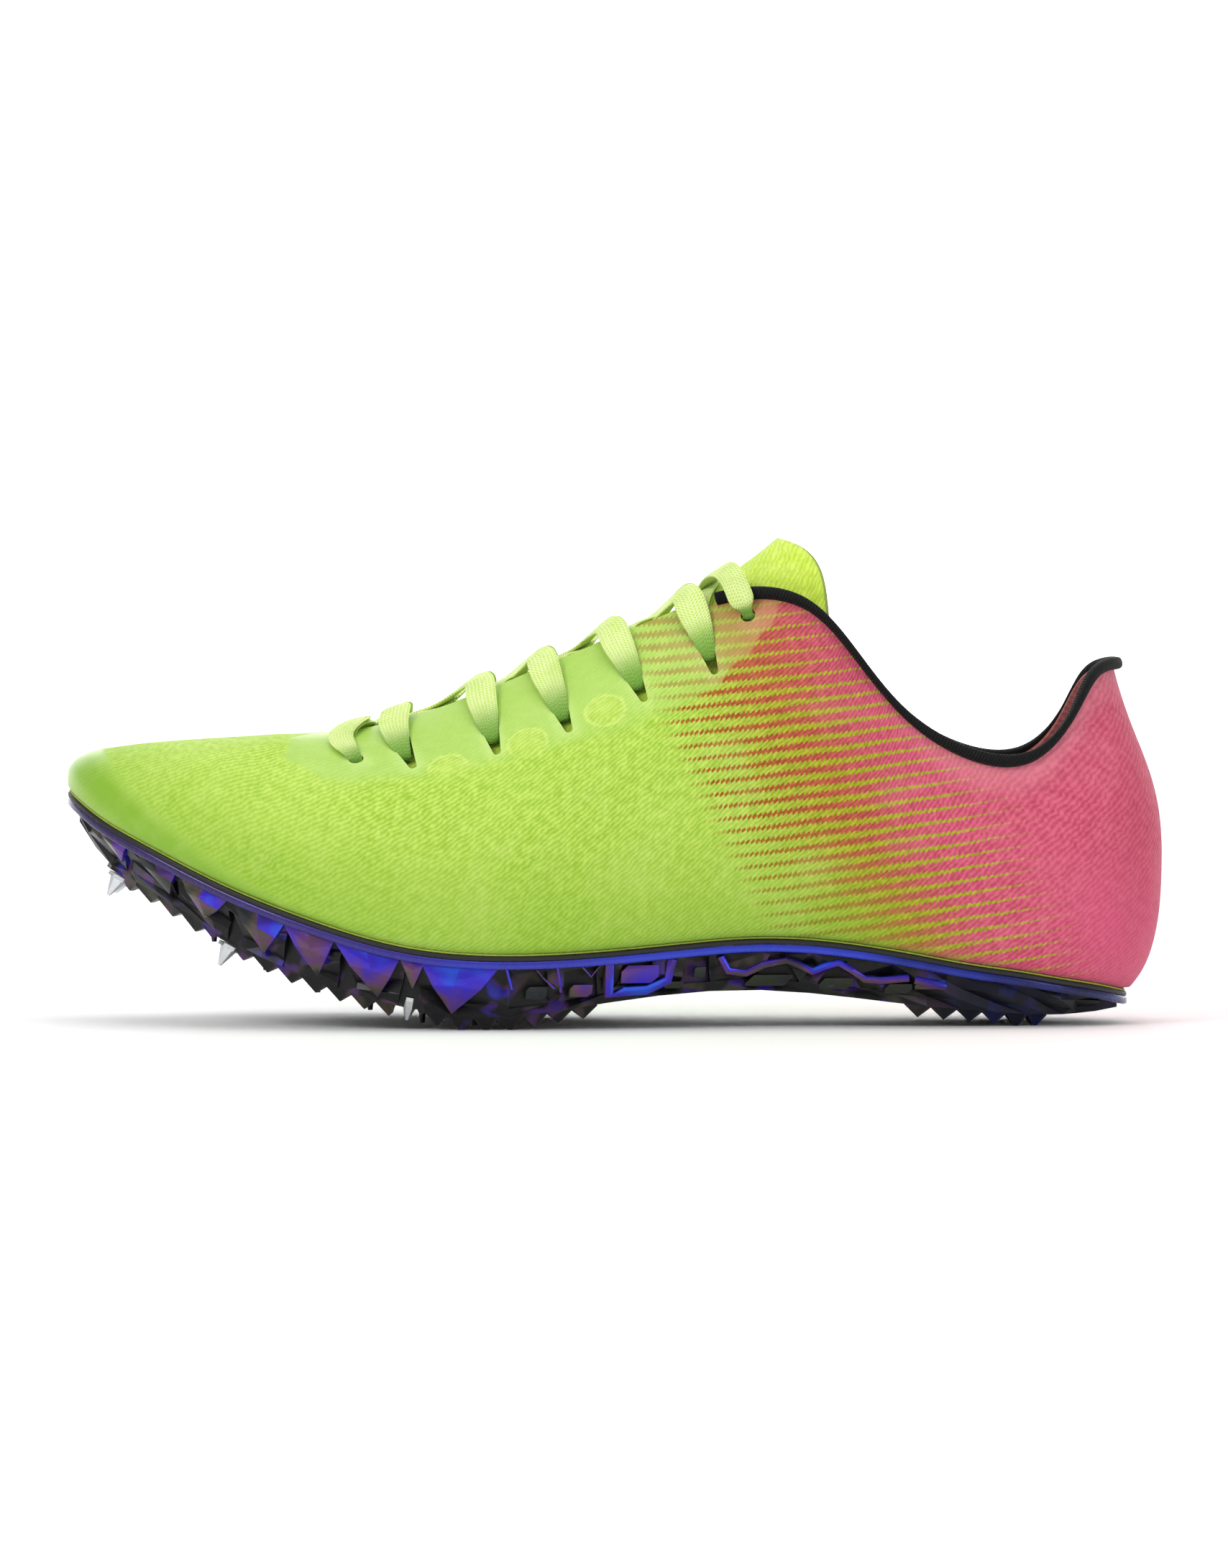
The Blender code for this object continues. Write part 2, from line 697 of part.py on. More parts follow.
def make_laces(parts, cutters):
    """The crossings over the throat, each its two strands joined. The first holds the front bar too."""
    made = []
    for number, (start, end) in enumerate(zip(HOLES, HOLES[1:]), 1):
        strands = [lace_strand(start, end, side) for side in (-1, 1)]
        if number == 1:
            strands.append(front_bar())
        name = f"lace_crossing_{number}"
        crossing = new_object(name, loft_mesh(name, strands[0]), parts)
        for k, strand in enumerate(strands[1:]):
            other = new_object(f"lace_strand_{number}_{k}", loft_mesh("lace_strand", strand), cutters)
            boolean(crossing, other, "UNION")
        made.append(crossing)
    return made


def plate_inset(x):
    """How far the plate's lower edge stands in from the feather line."""
    share = smooth((x / LENGTH - 0.18) / 0.28)
    return PLATE_INSET_TOE + (PLATE_INSET_HEEL - PLATE_INSET_TOE) * share


def side_place(x, side):
    """The place round the shoe where the feather line passes this far along it."""
    near, far = (0.0, KNOTS[HEEL_RIB]) if side < 0 else (KNOTS[-1], KNOTS[HEEL_RIB])
    for _ in range(30):
        middle = (near + far) / 2
        if feather(middle).x < x:
            near = middle
        else:
            far = middle
    return near


def on_plate(x, side, inset):
    """A point this far in from the feather line, at the height of the plate's underside."""
    place = side_place(x, side)
    point = feather(place) - outward(place) * inset
    point.z = plate_bottom(point.x)
    return point


def plate_loops():
    """Cross-sections of the spike plate from toe to heel: a rim, a step in and faceted sides."""
    count = 28
    loops = []
    for k in range(count + 1):
        even = k / count
        eased = 0.5 - 0.5 * math.cos(math.pi * even)
        share = 0.008 + 0.984 * (0.55 * even + 0.45 * eased)
        odd = k % 2
        pair = across_sole(share, 0)
        half = (pair[0] - pair[1]).length / 2
        halves = []
        for end in (0, 1):
            inset = plate_inset(pair[end].x)
            rings = (
                (-RIM_REACH, 0.0),
                (-RIM_REACH, 1.0),
                (0.22 * inset, 1.25),
                (0.18 * inset + FACET_DEPTH * odd, 1.0 + 0.45 * (PLATE_DEPTH / RIM_HEIGHT - 1)),
                (0.62 * inset + FACET_DEPTH * (1 - odd), 1.0 + 0.75 * (PLATE_DEPTH / RIM_HEIGHT - 1)),
                (inset, PLATE_DEPTH / RIM_HEIGHT),
            )
            column = []
            for out, drop in rings:
                point = across_sole(share, min(out, half * 0.7))[end]
                fall = float(depth_along(point.x)[0]) * drop * RIM_HEIGHT / PLATE_DEPTH
                if drop <= 1.25:
                    fall = min(drop * RIM_HEIGHT, fall * 2.5)
                column.append(Vector((point.x, point.y, sole_height(point.x) - GAP - fall)))
            halves.append(column)
        loops.append(halves[0] + halves[1][::-1])
    return loops


def cell_cutters():
    """Three-cornered pockets under the plate, which leave a web of ribs."""
    mesh = bmesh.new()
    rows = []
    for k in range(9):
        x = (-0.405 + 0.1010 * k) * LENGTH
        lateral, medial = (on_plate(x, side, plate_inset(x) + SKIRT_WIDTH) for side in (-1, 1))
        rows.append((lateral, (lateral + medial) / 2, medial))
    for number, (a, b) in enumerate(zip(rows, rows[1:])):
        if number % 2:
            picks = ("a0 b0 b1", "a0 b1 a1", "a1 b1 a2", "a2 b1 b2")
        else:
            picks = ("a0 b0 a1", "a1 b0 b1", "a1 b1 b2", "a1 b2 a2")
        spots = {f"{name}{k}": row[k] for name, row in (("a", a), ("b", b)) for k in range(3)}
        for corners in picks:
            add_cell(mesh, [spots[name] for name in corners.split()])
    return mesh_from("cells", mesh)


def add_cell(mesh, corners):
    """One pocket, its corners drawn in by half a rib."""
    flat = [Vector((c.x, c.y, 0)) for c in corners]
    sides = [(flat[i - 1] - flat[i - 2]).length for i in range(3)]
    area = abs((flat[1] - flat[0]).cross(flat[2] - flat[0]).z) / 2
    radius = 2 * area / sum(sides)
    centre = sum((corner * side for corner, side in zip(flat, sides)), Vector()) / sum(sides)
    share = 1 - RIB_WIDTH / 2 / radius
    drawn = [centre + (p - centre) * share for p in flat]
    low = [Vector((p.x, p.y, plate_bottom(p.x) - 0.01)) for p in drawn]
    high = [Vector((p.x, p.y, sole_height(p.x) - GAP - PLATE_SHEET)) for p in drawn]
    prism(mesh, low, high)


# Openings in the plate's sides, on both sides of the shoe.
# along: the middle, and length: its foot, as shares of LENGTH. top_length: its top as a share of its foot.
# bottom, top: shares of the plate's depth, from its lower edge up. cut: how deep into the side, in metres.
Opening = namedtuple("Opening", "along length top_length bottom top cut")
OPENINGS = [
    Opening(-0.4500, 0.016, 0.30, -0.3, 0.55, 0.0050),
    Opening(-0.3992, 0.019, 0.15, -0.3, 0.62, 0.0050),
    Opening(-0.3470, 0.025, 0.20, -0.3, 0.60, 0.0055),
    Opening(-0.2947, 0.028, 0.15, -0.3, 0.64, 0.0060),
    Opening(-0.2435, 0.026, 0.15, -0.3, 0.66, 0.0060),
    Opening(-0.1837, 0.033, 0.30, -0.3, 0.62, 0.0060),
    Opening(-0.0755, 0.036, 0.88, 0.16, 0.74, 0.0060),
    Opening(-0.0290, 0.034, 0.88, 0.18, 0.74, 0.0060),
    Opening(0.0220, 0.034, 0.80, 0.34, 0.74, 0.0050),
    Opening(0.0760, 0.028, 0.80, 0.20, 0.74, 0.0060),
    Opening(0.1480, 0.042, 0.30, 0.20, 0.72, 0.0060),
    Opening(0.2040, 0.040, 0.30, 0.20, 0.70, 0.0060),
    Opening(0.2560, 0.032, 0.40, 0.18, 0.56, 0.0060),
]


def opening_cutters():
    """Notches and windows in the plate's sides."""
    mesh = bmesh.new()
    for opening in OPENINGS:
        x, half = opening.along * LENGTH, opening.length * LENGTH / 2
        low, deep = plate_bottom(x), float(depth_along(x)[0])
        bottom, top = low + deep * opening.bottom, low + deep * opening.top
        short = half * opening.top_length
        corners = [(-half, bottom), (half, bottom), (short, top), (-short, top)]
        for side in (-1, 1):
            place = side_place(x, side)
            foot, out = feather(place), outward(place)
            ahead = Vector((-out.y, out.x, 0)) * side
            slope = (plate_bottom(x + 0.002) - plate_bottom(x - 0.002)) / 0.004
            rings = []
            for reach in (0.004, -opening.cut):
                ring = []
                for along, height in corners:
                    point = foot + ahead * along + out * reach
                    ring.append(Vector((point.x, point.y, height + slope * (point.x - x))))
                rings.append(ring)
            prism(mesh, *rings)
    return mesh_from("openings", mesh)


# Combs of teeth along both sides: the first and the last tooth, as shares of LENGTH, and how many
Comb = namedtuple("Comb", "first last count")
COMBS = [Comb(-0.4610, -0.0220, 20), Comb(0.2757, 0.3986, 6)]
REST_ALONG = (-0.1150, 0.3986)
# Long single teeth inside the forefoot combs
SPIKES = Comb(-0.3900, -0.1250, 6)


def comb_loops(comb, side):
    """A bar under the plate's edge, cut in teeth. Those that bear the shoe reach the floor."""
    pitch = (comb.last - comb.first) / (comb.count - 1)
    flat = TOOTH_FLAT / LENGTH
    stations = [(comb.first - pitch / 2, 0.0, 1.0)]
    for k in range(comb.count):
        along = comb.first + pitch * k
        if min(abs(along - rest) for rest in REST_ALONG) < 0.027:
            stations += [(along - flat, 2.0, 0.4), (along + flat, 2.0, 0.4)]
        else:
            stations.append((along, 1.0, 0.3))
        stations.append((along + pitch / 2, 0.0, 1.0))
    up = Vector((0, 0, 1))
    loops = []
    for along, tip, width in stations:
        x = along * LENGTH
        point = on_plate(x, side, plate_inset(x) + COMB_INSET)
        out = outward(side_place(x, side))
        room = point.z - (0.0003 if tip == 1 else 0.0)
        height = max(min(TOOTH_HEIGHT * tip, room), 0.0003)
        wide, narrow = out * TOOTH_RADIUS, out * TOOTH_RADIUS * width
        loops.append([
            point + wide + up * 0.0011,
            point - wide + up * 0.0011,
            point - narrow - up * height,
            point + narrow - up * height,
        ])
    return loops


def tooth_mesh():
    """The combs and the single teeth."""
    mesh = bmesh.new()
    for side in (-1, 1):
        for comb in COMBS:
            add_loft(mesh, comb_loops(comb, side))
        for k in range(SPIKES.count):
            x = (SPIKES.first + (SPIKES.last - SPIKES.first) * k / (SPIKES.count - 1)) * LENGTH
            point = on_plate(x, side, plate_inset(x) + COMB_INSET * 3.4)
            root = float(depth_along(point.x)[0]) - PLATE_SHEET * 0.6
            height = min(TOOTH_HEIGHT * 1.1, point.z - 0.0006)
            bmesh.ops.create_cone(
                mesh,
                cap_ends=True,
                segments=4,
                radius1=TOOTH_FLAT,
                radius2=TOOTH_RADIUS * 1.2,
                depth=height + root,
                matrix=Matrix.Translation(point + Vector((0, 0, (root - height) / 2))),
            )
    return mesh_from("teeth", mesh)


# Metal pins, as shares of LENGTH along the shoe and of the plate's width across it from the lateral side
PINS = [
    (-0.4660, 0.12), (-0.3540, 0.06), (-0.1837, 0.05),
    (-0.4620, 0.86), (-0.3500, 0.93), (-0.1837, 0.94),
]


def pin_frames():
    """Where each pin stands on the plate, and the way that it points. Its tip stays clear of the floor."""
    frames = []
    for along, across in PINS:
        x = along * LENGTH
        lateral, medial = (on_plate(x, side, plate_inset(x) + BOSS_RADIUS * 0.4) for side in (-1, 1))
        point = lateral.lerp(medial, across)
        slope = (plate_bottom(point.x + 0.002) - plate_bottom(point.x - 0.002)) / 0.004
        base = max(plate_bottom(point.x), PIN_LENGTH + PIN_COLLAR_HEIGHT + 0.0024)
        frames.append((Vector((point.x, point.y, base)), Vector((slope, 0, -1)).normalized()))
    return frames


def pin_turn(down):
    """The turn that takes straight down to a pin's own direction."""
    return Vector((0, 0, -1)).rotation_difference(down).to_matrix().to_4x4()


def boss_mesh():
    """Eight-sided bosses that carry the pins, from inside the plate's sheet down to each pin's base."""
    mesh = bmesh.new()
    for point, down in pin_frames():
        height = sole_height(point.x) - GAP - PLATE_SHEET * 0.5 - point.z
        bmesh.ops.create_cone(
            mesh,
            cap_ends=True,
            segments=8,
            radius1=BOSS_RADIUS,
            radius2=BOSS_RADIUS * 1.25,
            depth=height,
            matrix=Matrix.Translation(point - down * (height / 2 - BOSS_DROP)) @ pin_turn(down),
        )
    return mesh_from("pin_bosses", mesh)


def well_mesh():
    """The room under each pin's base."""
    radius = BOSS_RADIUS + 0.0006
    mesh = bmesh.new()
    for point, down in pin_frames():
        room = Matrix.Translation(point + down * (0.01 + BOSS_DROP)) @ pin_turn(down)
        bmesh.ops.create_cone(
            mesh, cap_ends=True, segments=8, radius1=radius, radius2=radius, depth=0.02, matrix=room
        )
    return mesh_from("pin_wells", mesh)


def make_plate(parts, cutters):
    plate = new_object("spike_plate", loft_mesh("spike_plate", plate_loops()), parts)
    for name, data, operation in (
        ("plate_cells", cell_cutters(), "DIFFERENCE"),
        ("plate_openings", opening_cutters(), "DIFFERENCE"),
        ("teeth", tooth_mesh(), "UNION"),
        ("pin_bosses", boss_mesh(), "UNION"),
        ("pin_wells", well_mesh(), "DIFFERENCE"),
    ):
        boolean(plate, new_object(name, data, cutters), operation)
    return plate


def make_pins(parts):
    """Turned metal pins, each with a collar, standing square to the plate."""
    profile = [
        (0.0, 0.0), (PIN_COLLAR_RADIUS, 0.0), (PIN_COLLAR_RADIUS, PIN_COLLAR_HEIGHT),
        (PIN_RADIUS, PIN_COLLAR_HEIGHT), (PIN_RADIUS * 0.5, PIN_LENGTH * 0.7),
        (PIN_POINT, PIN_LENGTH), (0.0, PIN_LENGTH),
    ]
    made = []
    for number, (point, down) in enumerate(pin_frames(), 1):
        mesh = bmesh.new()
        points = [mesh.verts.new((r, 0, -z)) for r, z in profile]
        edges = [mesh.edges.new(pair) for pair in zip(points, points[1:])]
        bmesh.ops.spin(
            mesh, geom=points + edges, cent=(0, 0, 0), axis=(0, 0, 1),
            angle=math.tau, steps=6, use_merge=True,
        )
        bmesh.ops.remove_doubles(mesh, verts=mesh.verts, dist=0.00001)
        bmesh.ops.recalc_face_normals(mesh, faces=mesh.faces)
        pin = new_object(f"pin_{number}", mesh_from("pin", mesh), parts)
        pin.rotation_mode = "QUATERNION"
        pin.rotation_quaternion = Vector((0, 0, -1)).rotation_difference(down)
        pin.location = point + down * (0.0008 + GAP)
        made.append(pin)
    return made


def clear_scene():
    for obj in list(bpy.data.objects):
        bpy.data.objects.remove(obj)


def main():
    clear_scene()
    parts = bpy.data.collections.new("track_spike_shoe")
    cutters = bpy.data.collections.new("cutters")
    for collection in (parts, cutters):
        bpy.context.scene.collection.children.link(collection)
    upper = make_upper(parts, cutters)
    binding = make_binding(parts)
    insole = make_insole(parts)
    tongue = make_tongue(parts)
    laces = make_laces(parts, cutters)
    plate = make_plate(parts, cutters)
    pins = make_pins(parts)
    for helper in cutters.objects:
        helper.hide_render = True
        helper.display_type = "WIRE"
    finishes = [
        (upper, material("lime_textile", (0.55, 0.83, 0.08), 0.7)),
        (binding, material("black_binding", (0.012, 0.012, 0.014), 0.8)),
        (insole, material("grey_insole", (0.05, 0.05, 0.055), 0.9)),
        (tongue, material("lime_tongue", (0.72, 0.93, 0.12), 0.75)),
        (plate, material("violet_plate", (0.09, 0.05, 0.35), 0.25)),
    ]
    finishes += [(lace, material("lime_lace", (0.72, 0.93, 0.35), 0.8)) for lace in laces]
    finishes += [(pin, material("steel_pin", (0.75, 0.76, 0.78), 0.3, 1.0)) for pin in pins]
    for obj, finish in finishes:
        obj.data.materials.append(finish)


main()
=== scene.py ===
import math

import bmesh
import bpy
import numpy as np
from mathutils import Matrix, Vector
from mathutils.kdtree import KDTree


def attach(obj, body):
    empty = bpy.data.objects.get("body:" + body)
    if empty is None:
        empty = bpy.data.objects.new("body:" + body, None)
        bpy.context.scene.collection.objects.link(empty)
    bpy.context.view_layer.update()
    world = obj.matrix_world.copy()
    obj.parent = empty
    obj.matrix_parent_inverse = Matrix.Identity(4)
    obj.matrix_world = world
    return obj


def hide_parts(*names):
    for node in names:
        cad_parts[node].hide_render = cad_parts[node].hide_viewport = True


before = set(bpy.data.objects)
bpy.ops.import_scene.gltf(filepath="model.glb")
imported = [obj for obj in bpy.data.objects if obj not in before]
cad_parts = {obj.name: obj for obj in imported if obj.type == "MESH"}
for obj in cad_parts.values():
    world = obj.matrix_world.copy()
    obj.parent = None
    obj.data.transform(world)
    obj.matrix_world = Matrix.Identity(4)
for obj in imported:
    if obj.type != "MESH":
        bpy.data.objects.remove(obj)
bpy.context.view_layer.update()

# Track spike shoe, left foot: the finish of every piece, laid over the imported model.
# Metres. The toe points to -X, the lateral side to -Y.

last = {
    "length": 0.280,
    "ballWidth": 0.092,
    "toeLift": 0.059,
    "instep": 0.111,
    "ankle": 0.0696,
    "heel": 0.0933,
    "wall": 0.0016,
    "margin": 0.008,
    "plateDepth": 0.0150,
    "gap": 0.0004,
}

# One row for each section of the last, from the toe tip to the back of the heel:
# along, lateral, medial, lift, plate depth, belly lateral, belly medial, belly up,
# edge along, edge lateral, edge medial, edge up, lean, full, and the height that the edge is a share of.
# Lengths are shares of length, ballWidth, toeLift and plateDepth.
sectionRows = [
    (-0.4985, 0.1, -0.1, 1.0, 0.24, 0.005, 0.005, 0.26, -0.248, 0.016, -0.016, 0.671, 87, 0.74, "instep"),
    (-0.473, -0.115, 0.292, 0.91, 0.58, 0.009, 0.009, 0.24, -0.2455, -0.036, 0.068, 0.67, 86, 0.71, "instep"),
    (-0.425, -0.247, 0.388, 0.783, 0.71, 0.013, 0.013, 0.22, -0.239, -0.072, 0.104, 0.672, 82, 0.65, "instep"),
    (-0.357, -0.352, 0.454, 0.624, 0.85, 0.017, 0.017, 0.2, -0.223, -0.091, 0.121, 0.68, 74, 0.58, "instep"),
    (-0.2786, -0.433, 0.488, 0.478, 0.96, 0.02, 0.017, 0.2, -0.188, -0.098, 0.126, 0.702, 65, 0.54, "instep"),
    (-0.193, -0.482, 0.484, 0.361, 0.99, 0.016, 0.017, 0.2, -0.136, -0.104, 0.128, 0.746, 58, 0.52, "instep"),
    (-0.107, -0.49, 0.43, 0.32, 1.02, 0.018, 0.026, 0.21, -0.077, -0.112, 0.13, 0.807, 53, 0.51, "instep"),
    (-0.021, -0.457, 0.357, 0.332, 0.87, 0.036, 0.052, 0.22, -0.011, -0.122, 0.134, 0.878, 49, 0.5, "instep"),
    (0.057, -0.402, 0.3, 0.363, 0.81, 0.052, 0.074, 0.24, 0.055, -0.139, 0.141, 0.948, 44, 0.5, "instep"),
    (0.129, -0.359, 0.268, 0.386, 0.85, 0.058, 0.084, 0.25, 0.118, -0.174, 0.168, 0.996, 37, 0.48, "instep"),
    (0.186, -0.342, 0.268, 0.375, 0.88, 0.054, 0.078, 0.26, 0.173, -0.232, 0.217, 0.975, 30, 0.47, "instep"),
    (0.232, -0.337, 0.28, 0.347, 0.87, 0.05, 0.064, 0.28, 0.214, -0.277, 0.257, 1.39, 20, 0.46, "ankle"),
    (0.275, -0.335, 0.295, 0.312, 0.83, 0.045, 0.053, 0.31, 0.26, -0.304, 0.28, 1.168, 14, 0.46, "ankle"),
    (0.321, -0.328, 0.305, 0.271, 0.75, 0.044, 0.044, 0.34, 0.32, -0.314, 0.292, 1.018, 13, 0.46, "ankle"),
    (0.368, -0.31, 0.299, 0.237, 0.69, 0.05, 0.048, 0.37, 0.376, -0.292, 0.278, 1.006, 13, 0.46, "ankle"),
    (0.407, -0.268, 0.262, 0.203, 0.59, 0.066, 0.064, 0.38, 0.41, -0.24, 0.232, 0.85, 12, 0.45, "heel"),
    (0.441, -0.182, 0.182, 0.171, 0.43, 0.088, 0.088, 0.4, 0.432, -0.154, 0.15, 0.972, 12, 0.45, "heel"),
    (0.466, 0.0, 0.0, 0.137, 0.22, 0.105, 0.105, 0.42, 0.4545, 0.0, 0.0, 1.0, 12, 0.45, "heel"),
]
sectionCount = len(sectionRows)
heelRib = sectionCount - 1
upWay = np.array((0.0, 0.0, 1.0))


def smoothStep(t):
    t = np.clip(t, 0.0, 1.0)
    return t * t * (3 - 2 * t)


def unit(vectors):
    vectors = np.asarray(vectors, float)
    return vectors / np.maximum(np.linalg.norm(vectors, axis=-1, keepdims=True), 1e-12)


def spline(knots, values, closed=False):
    # a cubic through the values at the knots, natural at its ends or closed
    knots = np.asarray(knots, float)
    values = np.asarray(values, float).reshape(len(values), -1)
    if closed:
        values = np.vstack([values, values[:1]])
    count = len(knots) - 1
    step = np.diff(knots)
    slope = np.diff(values, axis=0) / step[:, None]
    matrix = np.zeros((count + 1, count + 1))
    right = np.zeros((count + 1, values.shape[1]))
    for i in range(1, count):
        matrix[i, i - 1:i + 2] = step[i - 1], 2 * (step[i - 1] + step[i]), step[i]
        right[i] = 6 * (slope[i] - slope[i - 1])
    if closed:
        matrix[0, [count - 1, 0, 1]] = step[-1], 2 * (step[-1] + step[0]), step[0]
        right[0] = 6 * (slope[0] - slope[-1])
        matrix[count, [0, count]] = 1, -1
    else:
        matrix[0, 0] = matrix[count, count] = 1
    bend = np.linalg.solve(matrix, right)

    def at(t):
        t = np.atleast_1d(np.asarray(t, float))
        if closed:
            t = knots[0] + (t - knots[0]) % (knots[-1] - knots[0])
        i = np.clip(np.searchsorted(knots, t) - 1, 0, count - 1)
        a = (knots[i + 1] - t) / step[i]
        b = 1 - a
        cubic = (a**3 - a)[:, None] * bend[i] + (b**3 - b)[:, None] * bend[i + 1]
        return a[:, None] * values[i] + b[:, None] * values[i + 1] + cubic * (step[i] ** 2 / 6)[:, None]

    return at


alongRows = [row[0] * last["length"] for row in sectionRows]
liftAlong = spline(alongRows, [row[3] * last["toeLift"] for row in sectionRows])
depthAlong = spline(alongRows, [row[4] * last["plateDepth"] for row in sectionRows])


def soleHeight(x):
    return liftAlong(x)[:, 0]  # the underside of the upper over the floor


def ribRow(row, side):
    across, belly, edge = (row[1], row[5], row[9]) if side < 0 else (row[2], row[6], row[10])
    width = last["ballWidth"]
    return [
        row[0] * last["length"],
        across * width,
        row[8] * last["length"],
        edge * width,
        row[11] * last[row[14]],
        belly * width,
        row[7],
        row[12],
        row[13],
    ]


# Ribs in order round the shoe: toe tip, lateral side, back of the heel, medial side
ribs = np.array(
    [ribRow(row, -1) for row in sectionRows] + [ribRow(row, 1) for row in reversed(sectionRows[1:-1])]
)
turned = np.vstack([ribs, ribs[:1]])
ribSteps = 0.6 * np.linalg.norm(np.diff(turned[:, 0:2], axis=0), axis=1)
ribSteps += 0.4 * np.linalg.norm(np.diff(turned[:, 2:5], axis=0), axis=1)
knots = np.concatenate([[0], np.cumsum(ribSteps)])
ribAt = spline(knots, ribs, closed=True)


def station(rib):
    rib = np.asarray(rib, float) % len(ribs)
    i = np.floor(rib).astype(int)
    return knots[i] + (rib - i) * (knots[i + 1] - knots[i])


def ribNumber(places):
    # counted from the toe tip on both sides
    places = np.asarray(places, float) % knots[-1]
    i = np.clip(np.searchsorted(knots, places, side="right") - 1, 0, len(ribs) - 1)
    number = i + (places - knots[i]) / (knots[i + 1] - knots[i])
    return np.minimum(number, len(ribs) - number)


def feather(places):
    spots = ribAt(places)[:, :2]
    return np.column_stack([spots, soleHeight(spots[:, 0])])


def outward(places):
    step = 0.0005
    ahead = feather(np.asarray(places) + step) - feather(np.asarray(places) - step)
    return unit(np.column_stack([ahead[:, 1], -ahead[:, 0], np.zeros(len(ahead))]))


def bezier(a, b, c, d, t):
    s = 1 - t[None, :, None]
    t = t[None, :, None]
    a, b, c, d = (p[:, None, :] for p in (a, b, c, d))
    return a * s**3 + b * 3 * s * s * t + c * 3 * s * t * t + d * t**3


def skinLines(places):
    # the outer skin of the upper from the feather line to the finished top edge, one line for each place
    places = np.atleast_1d(np.asarray(places, float))
    row = ribAt(places)
    foot = feather(places)
    edge = row[:, 2:5]
    belly, bellyUp, lean, full = (row[:, k:k + 1] for k in (5, 6, 7, 8))
    rise = edge[:, 2:3] - foot[:, 2:3]
    out = outward(places)
    wide = foot + out * belly + upWay * bellyUp * rise
    leave = foot + out * belly * 0.67 + upWay * bellyUp * rise * 0.13
    arrive = wide - upWay * bellyUp * rise * 0.6
    low = bezier(foot, leave, arrive, wide, np.arange(24) / 24)
    over = edge - wide
    inward = unit(over * (1, 1, 0))
    tilt = np.radians(lean)
    way = upWay * np.cos(tilt) + inward * np.sin(tilt)
    handle = wide + upWay * full * over[:, 2:3]
    back = edge - way * full * np.sum(over * way, axis=1, keepdims=True)
    return np.concatenate([low, bezier(wide, handle, back, edge, np.linspace(0, 1, 97))], axis=1)


def lineSteps(line):
    return np.concatenate([[0], np.cumsum(np.linalg.norm(np.diff(line, axis=0), axis=1))])


def alongLine(line, wanted):
    # points of a line at these lengths from its start, run on past its end where asked
    steps = lineSteps(line)
    wanted = np.atleast_1d(np.asarray(wanted, float))
    i = np.clip(np.searchsorted(steps, wanted) - 1, 0, len(line) - 2)
    share = (wanted - steps[i]) / np.maximum(steps[i + 1] - steps[i], 1e-9)
    return line[i] + (line[i + 1] - line[i]) * share[:, None]


def skinFrame(rib, drop, side):
    # a point of the outer skin this far below the top edge, and its ways down, along and out
    place = float(station(rib if side < 0 else len(ribs) - rib))
    line, near, far = skinLines([place, place - 0.001, place + 0.001])
    reach = lineSteps(line)[-1] - drop
    point, higher, lower = alongLine(line, [reach, reach + 0.001, reach - 0.001])
    behind = alongLine(near, lineSteps(near)[-1] - drop)[0]
    ahead = alongLine(far, lineSteps(far)[-1] - drop)[0]
    along = unit(ahead - behind)
    normal = unit(np.cross(lower - higher, along))
    if normal[2] < 0:
        normal = -normal
    down = unit(np.cross(along, normal))
    if np.dot(down, lower - higher) < 0:
        down = -down
    return point, down, along, normal


def distanceToPath(points, path):
    # the distance from each point to a path of straight steps
    best = np.full(len(points), 1e9)
    for a, b in zip(path, path[1:]):
        way = b - a
        share = np.clip((points - a) @ way / max(way @ way, 1e-12), 0, 1)
        best = np.minimum(best, np.linalg.norm(points - a - share[:, None] * way, axis=1))
    return best


# Meshes


def newObject(name, mesh, materials=()):
    obj = bpy.data.objects.new(name, mesh)
    bpy.context.scene.collection.objects.link(obj)
    for made in materials:
        mesh.materials.append(made)
    return obj


def plainMesh(name, verts, faces):
    mesh = bpy.data.meshes.new(name)
    mesh.from_pydata([tuple(v) for v in verts], [], faces)
    mesh.update()
    return mesh


def floatField(mesh, name, values, domain="POINT"):
    field = mesh.attributes.new(name, "FLOAT", domain)
    field.data.foreach_set("value", np.asarray(values, np.float32))


def uvMap(mesh, perVertex):
    # one UV for each vertex, in metres
    layer = mesh.uv_layers.new(name="cloth")
    corners = np.empty(len(mesh.loops), np.int64)
    mesh.loops.foreach_get("vertex_index", corners)
    layer.data.foreach_set("uv", np.asarray(perVertex, np.float32)[corners].ravel())


def gridNormals(grid, closed):
    across = np.roll(grid, -1, axis=0) - np.roll(grid, 1, axis=0)
    if not closed:
        across[0] = grid[1] - grid[0]
        across[-1] = grid[-1] - grid[-2]
    up = np.empty_like(grid)
    up[:, 1:-1] = grid[:, 2:] - grid[:, :-2]
    up[:, 0] = grid[:, 1] - grid[:, 0]
    up[:, -1] = grid[:, -1] - grid[:, -2]
    return unit(np.cross(across, up))


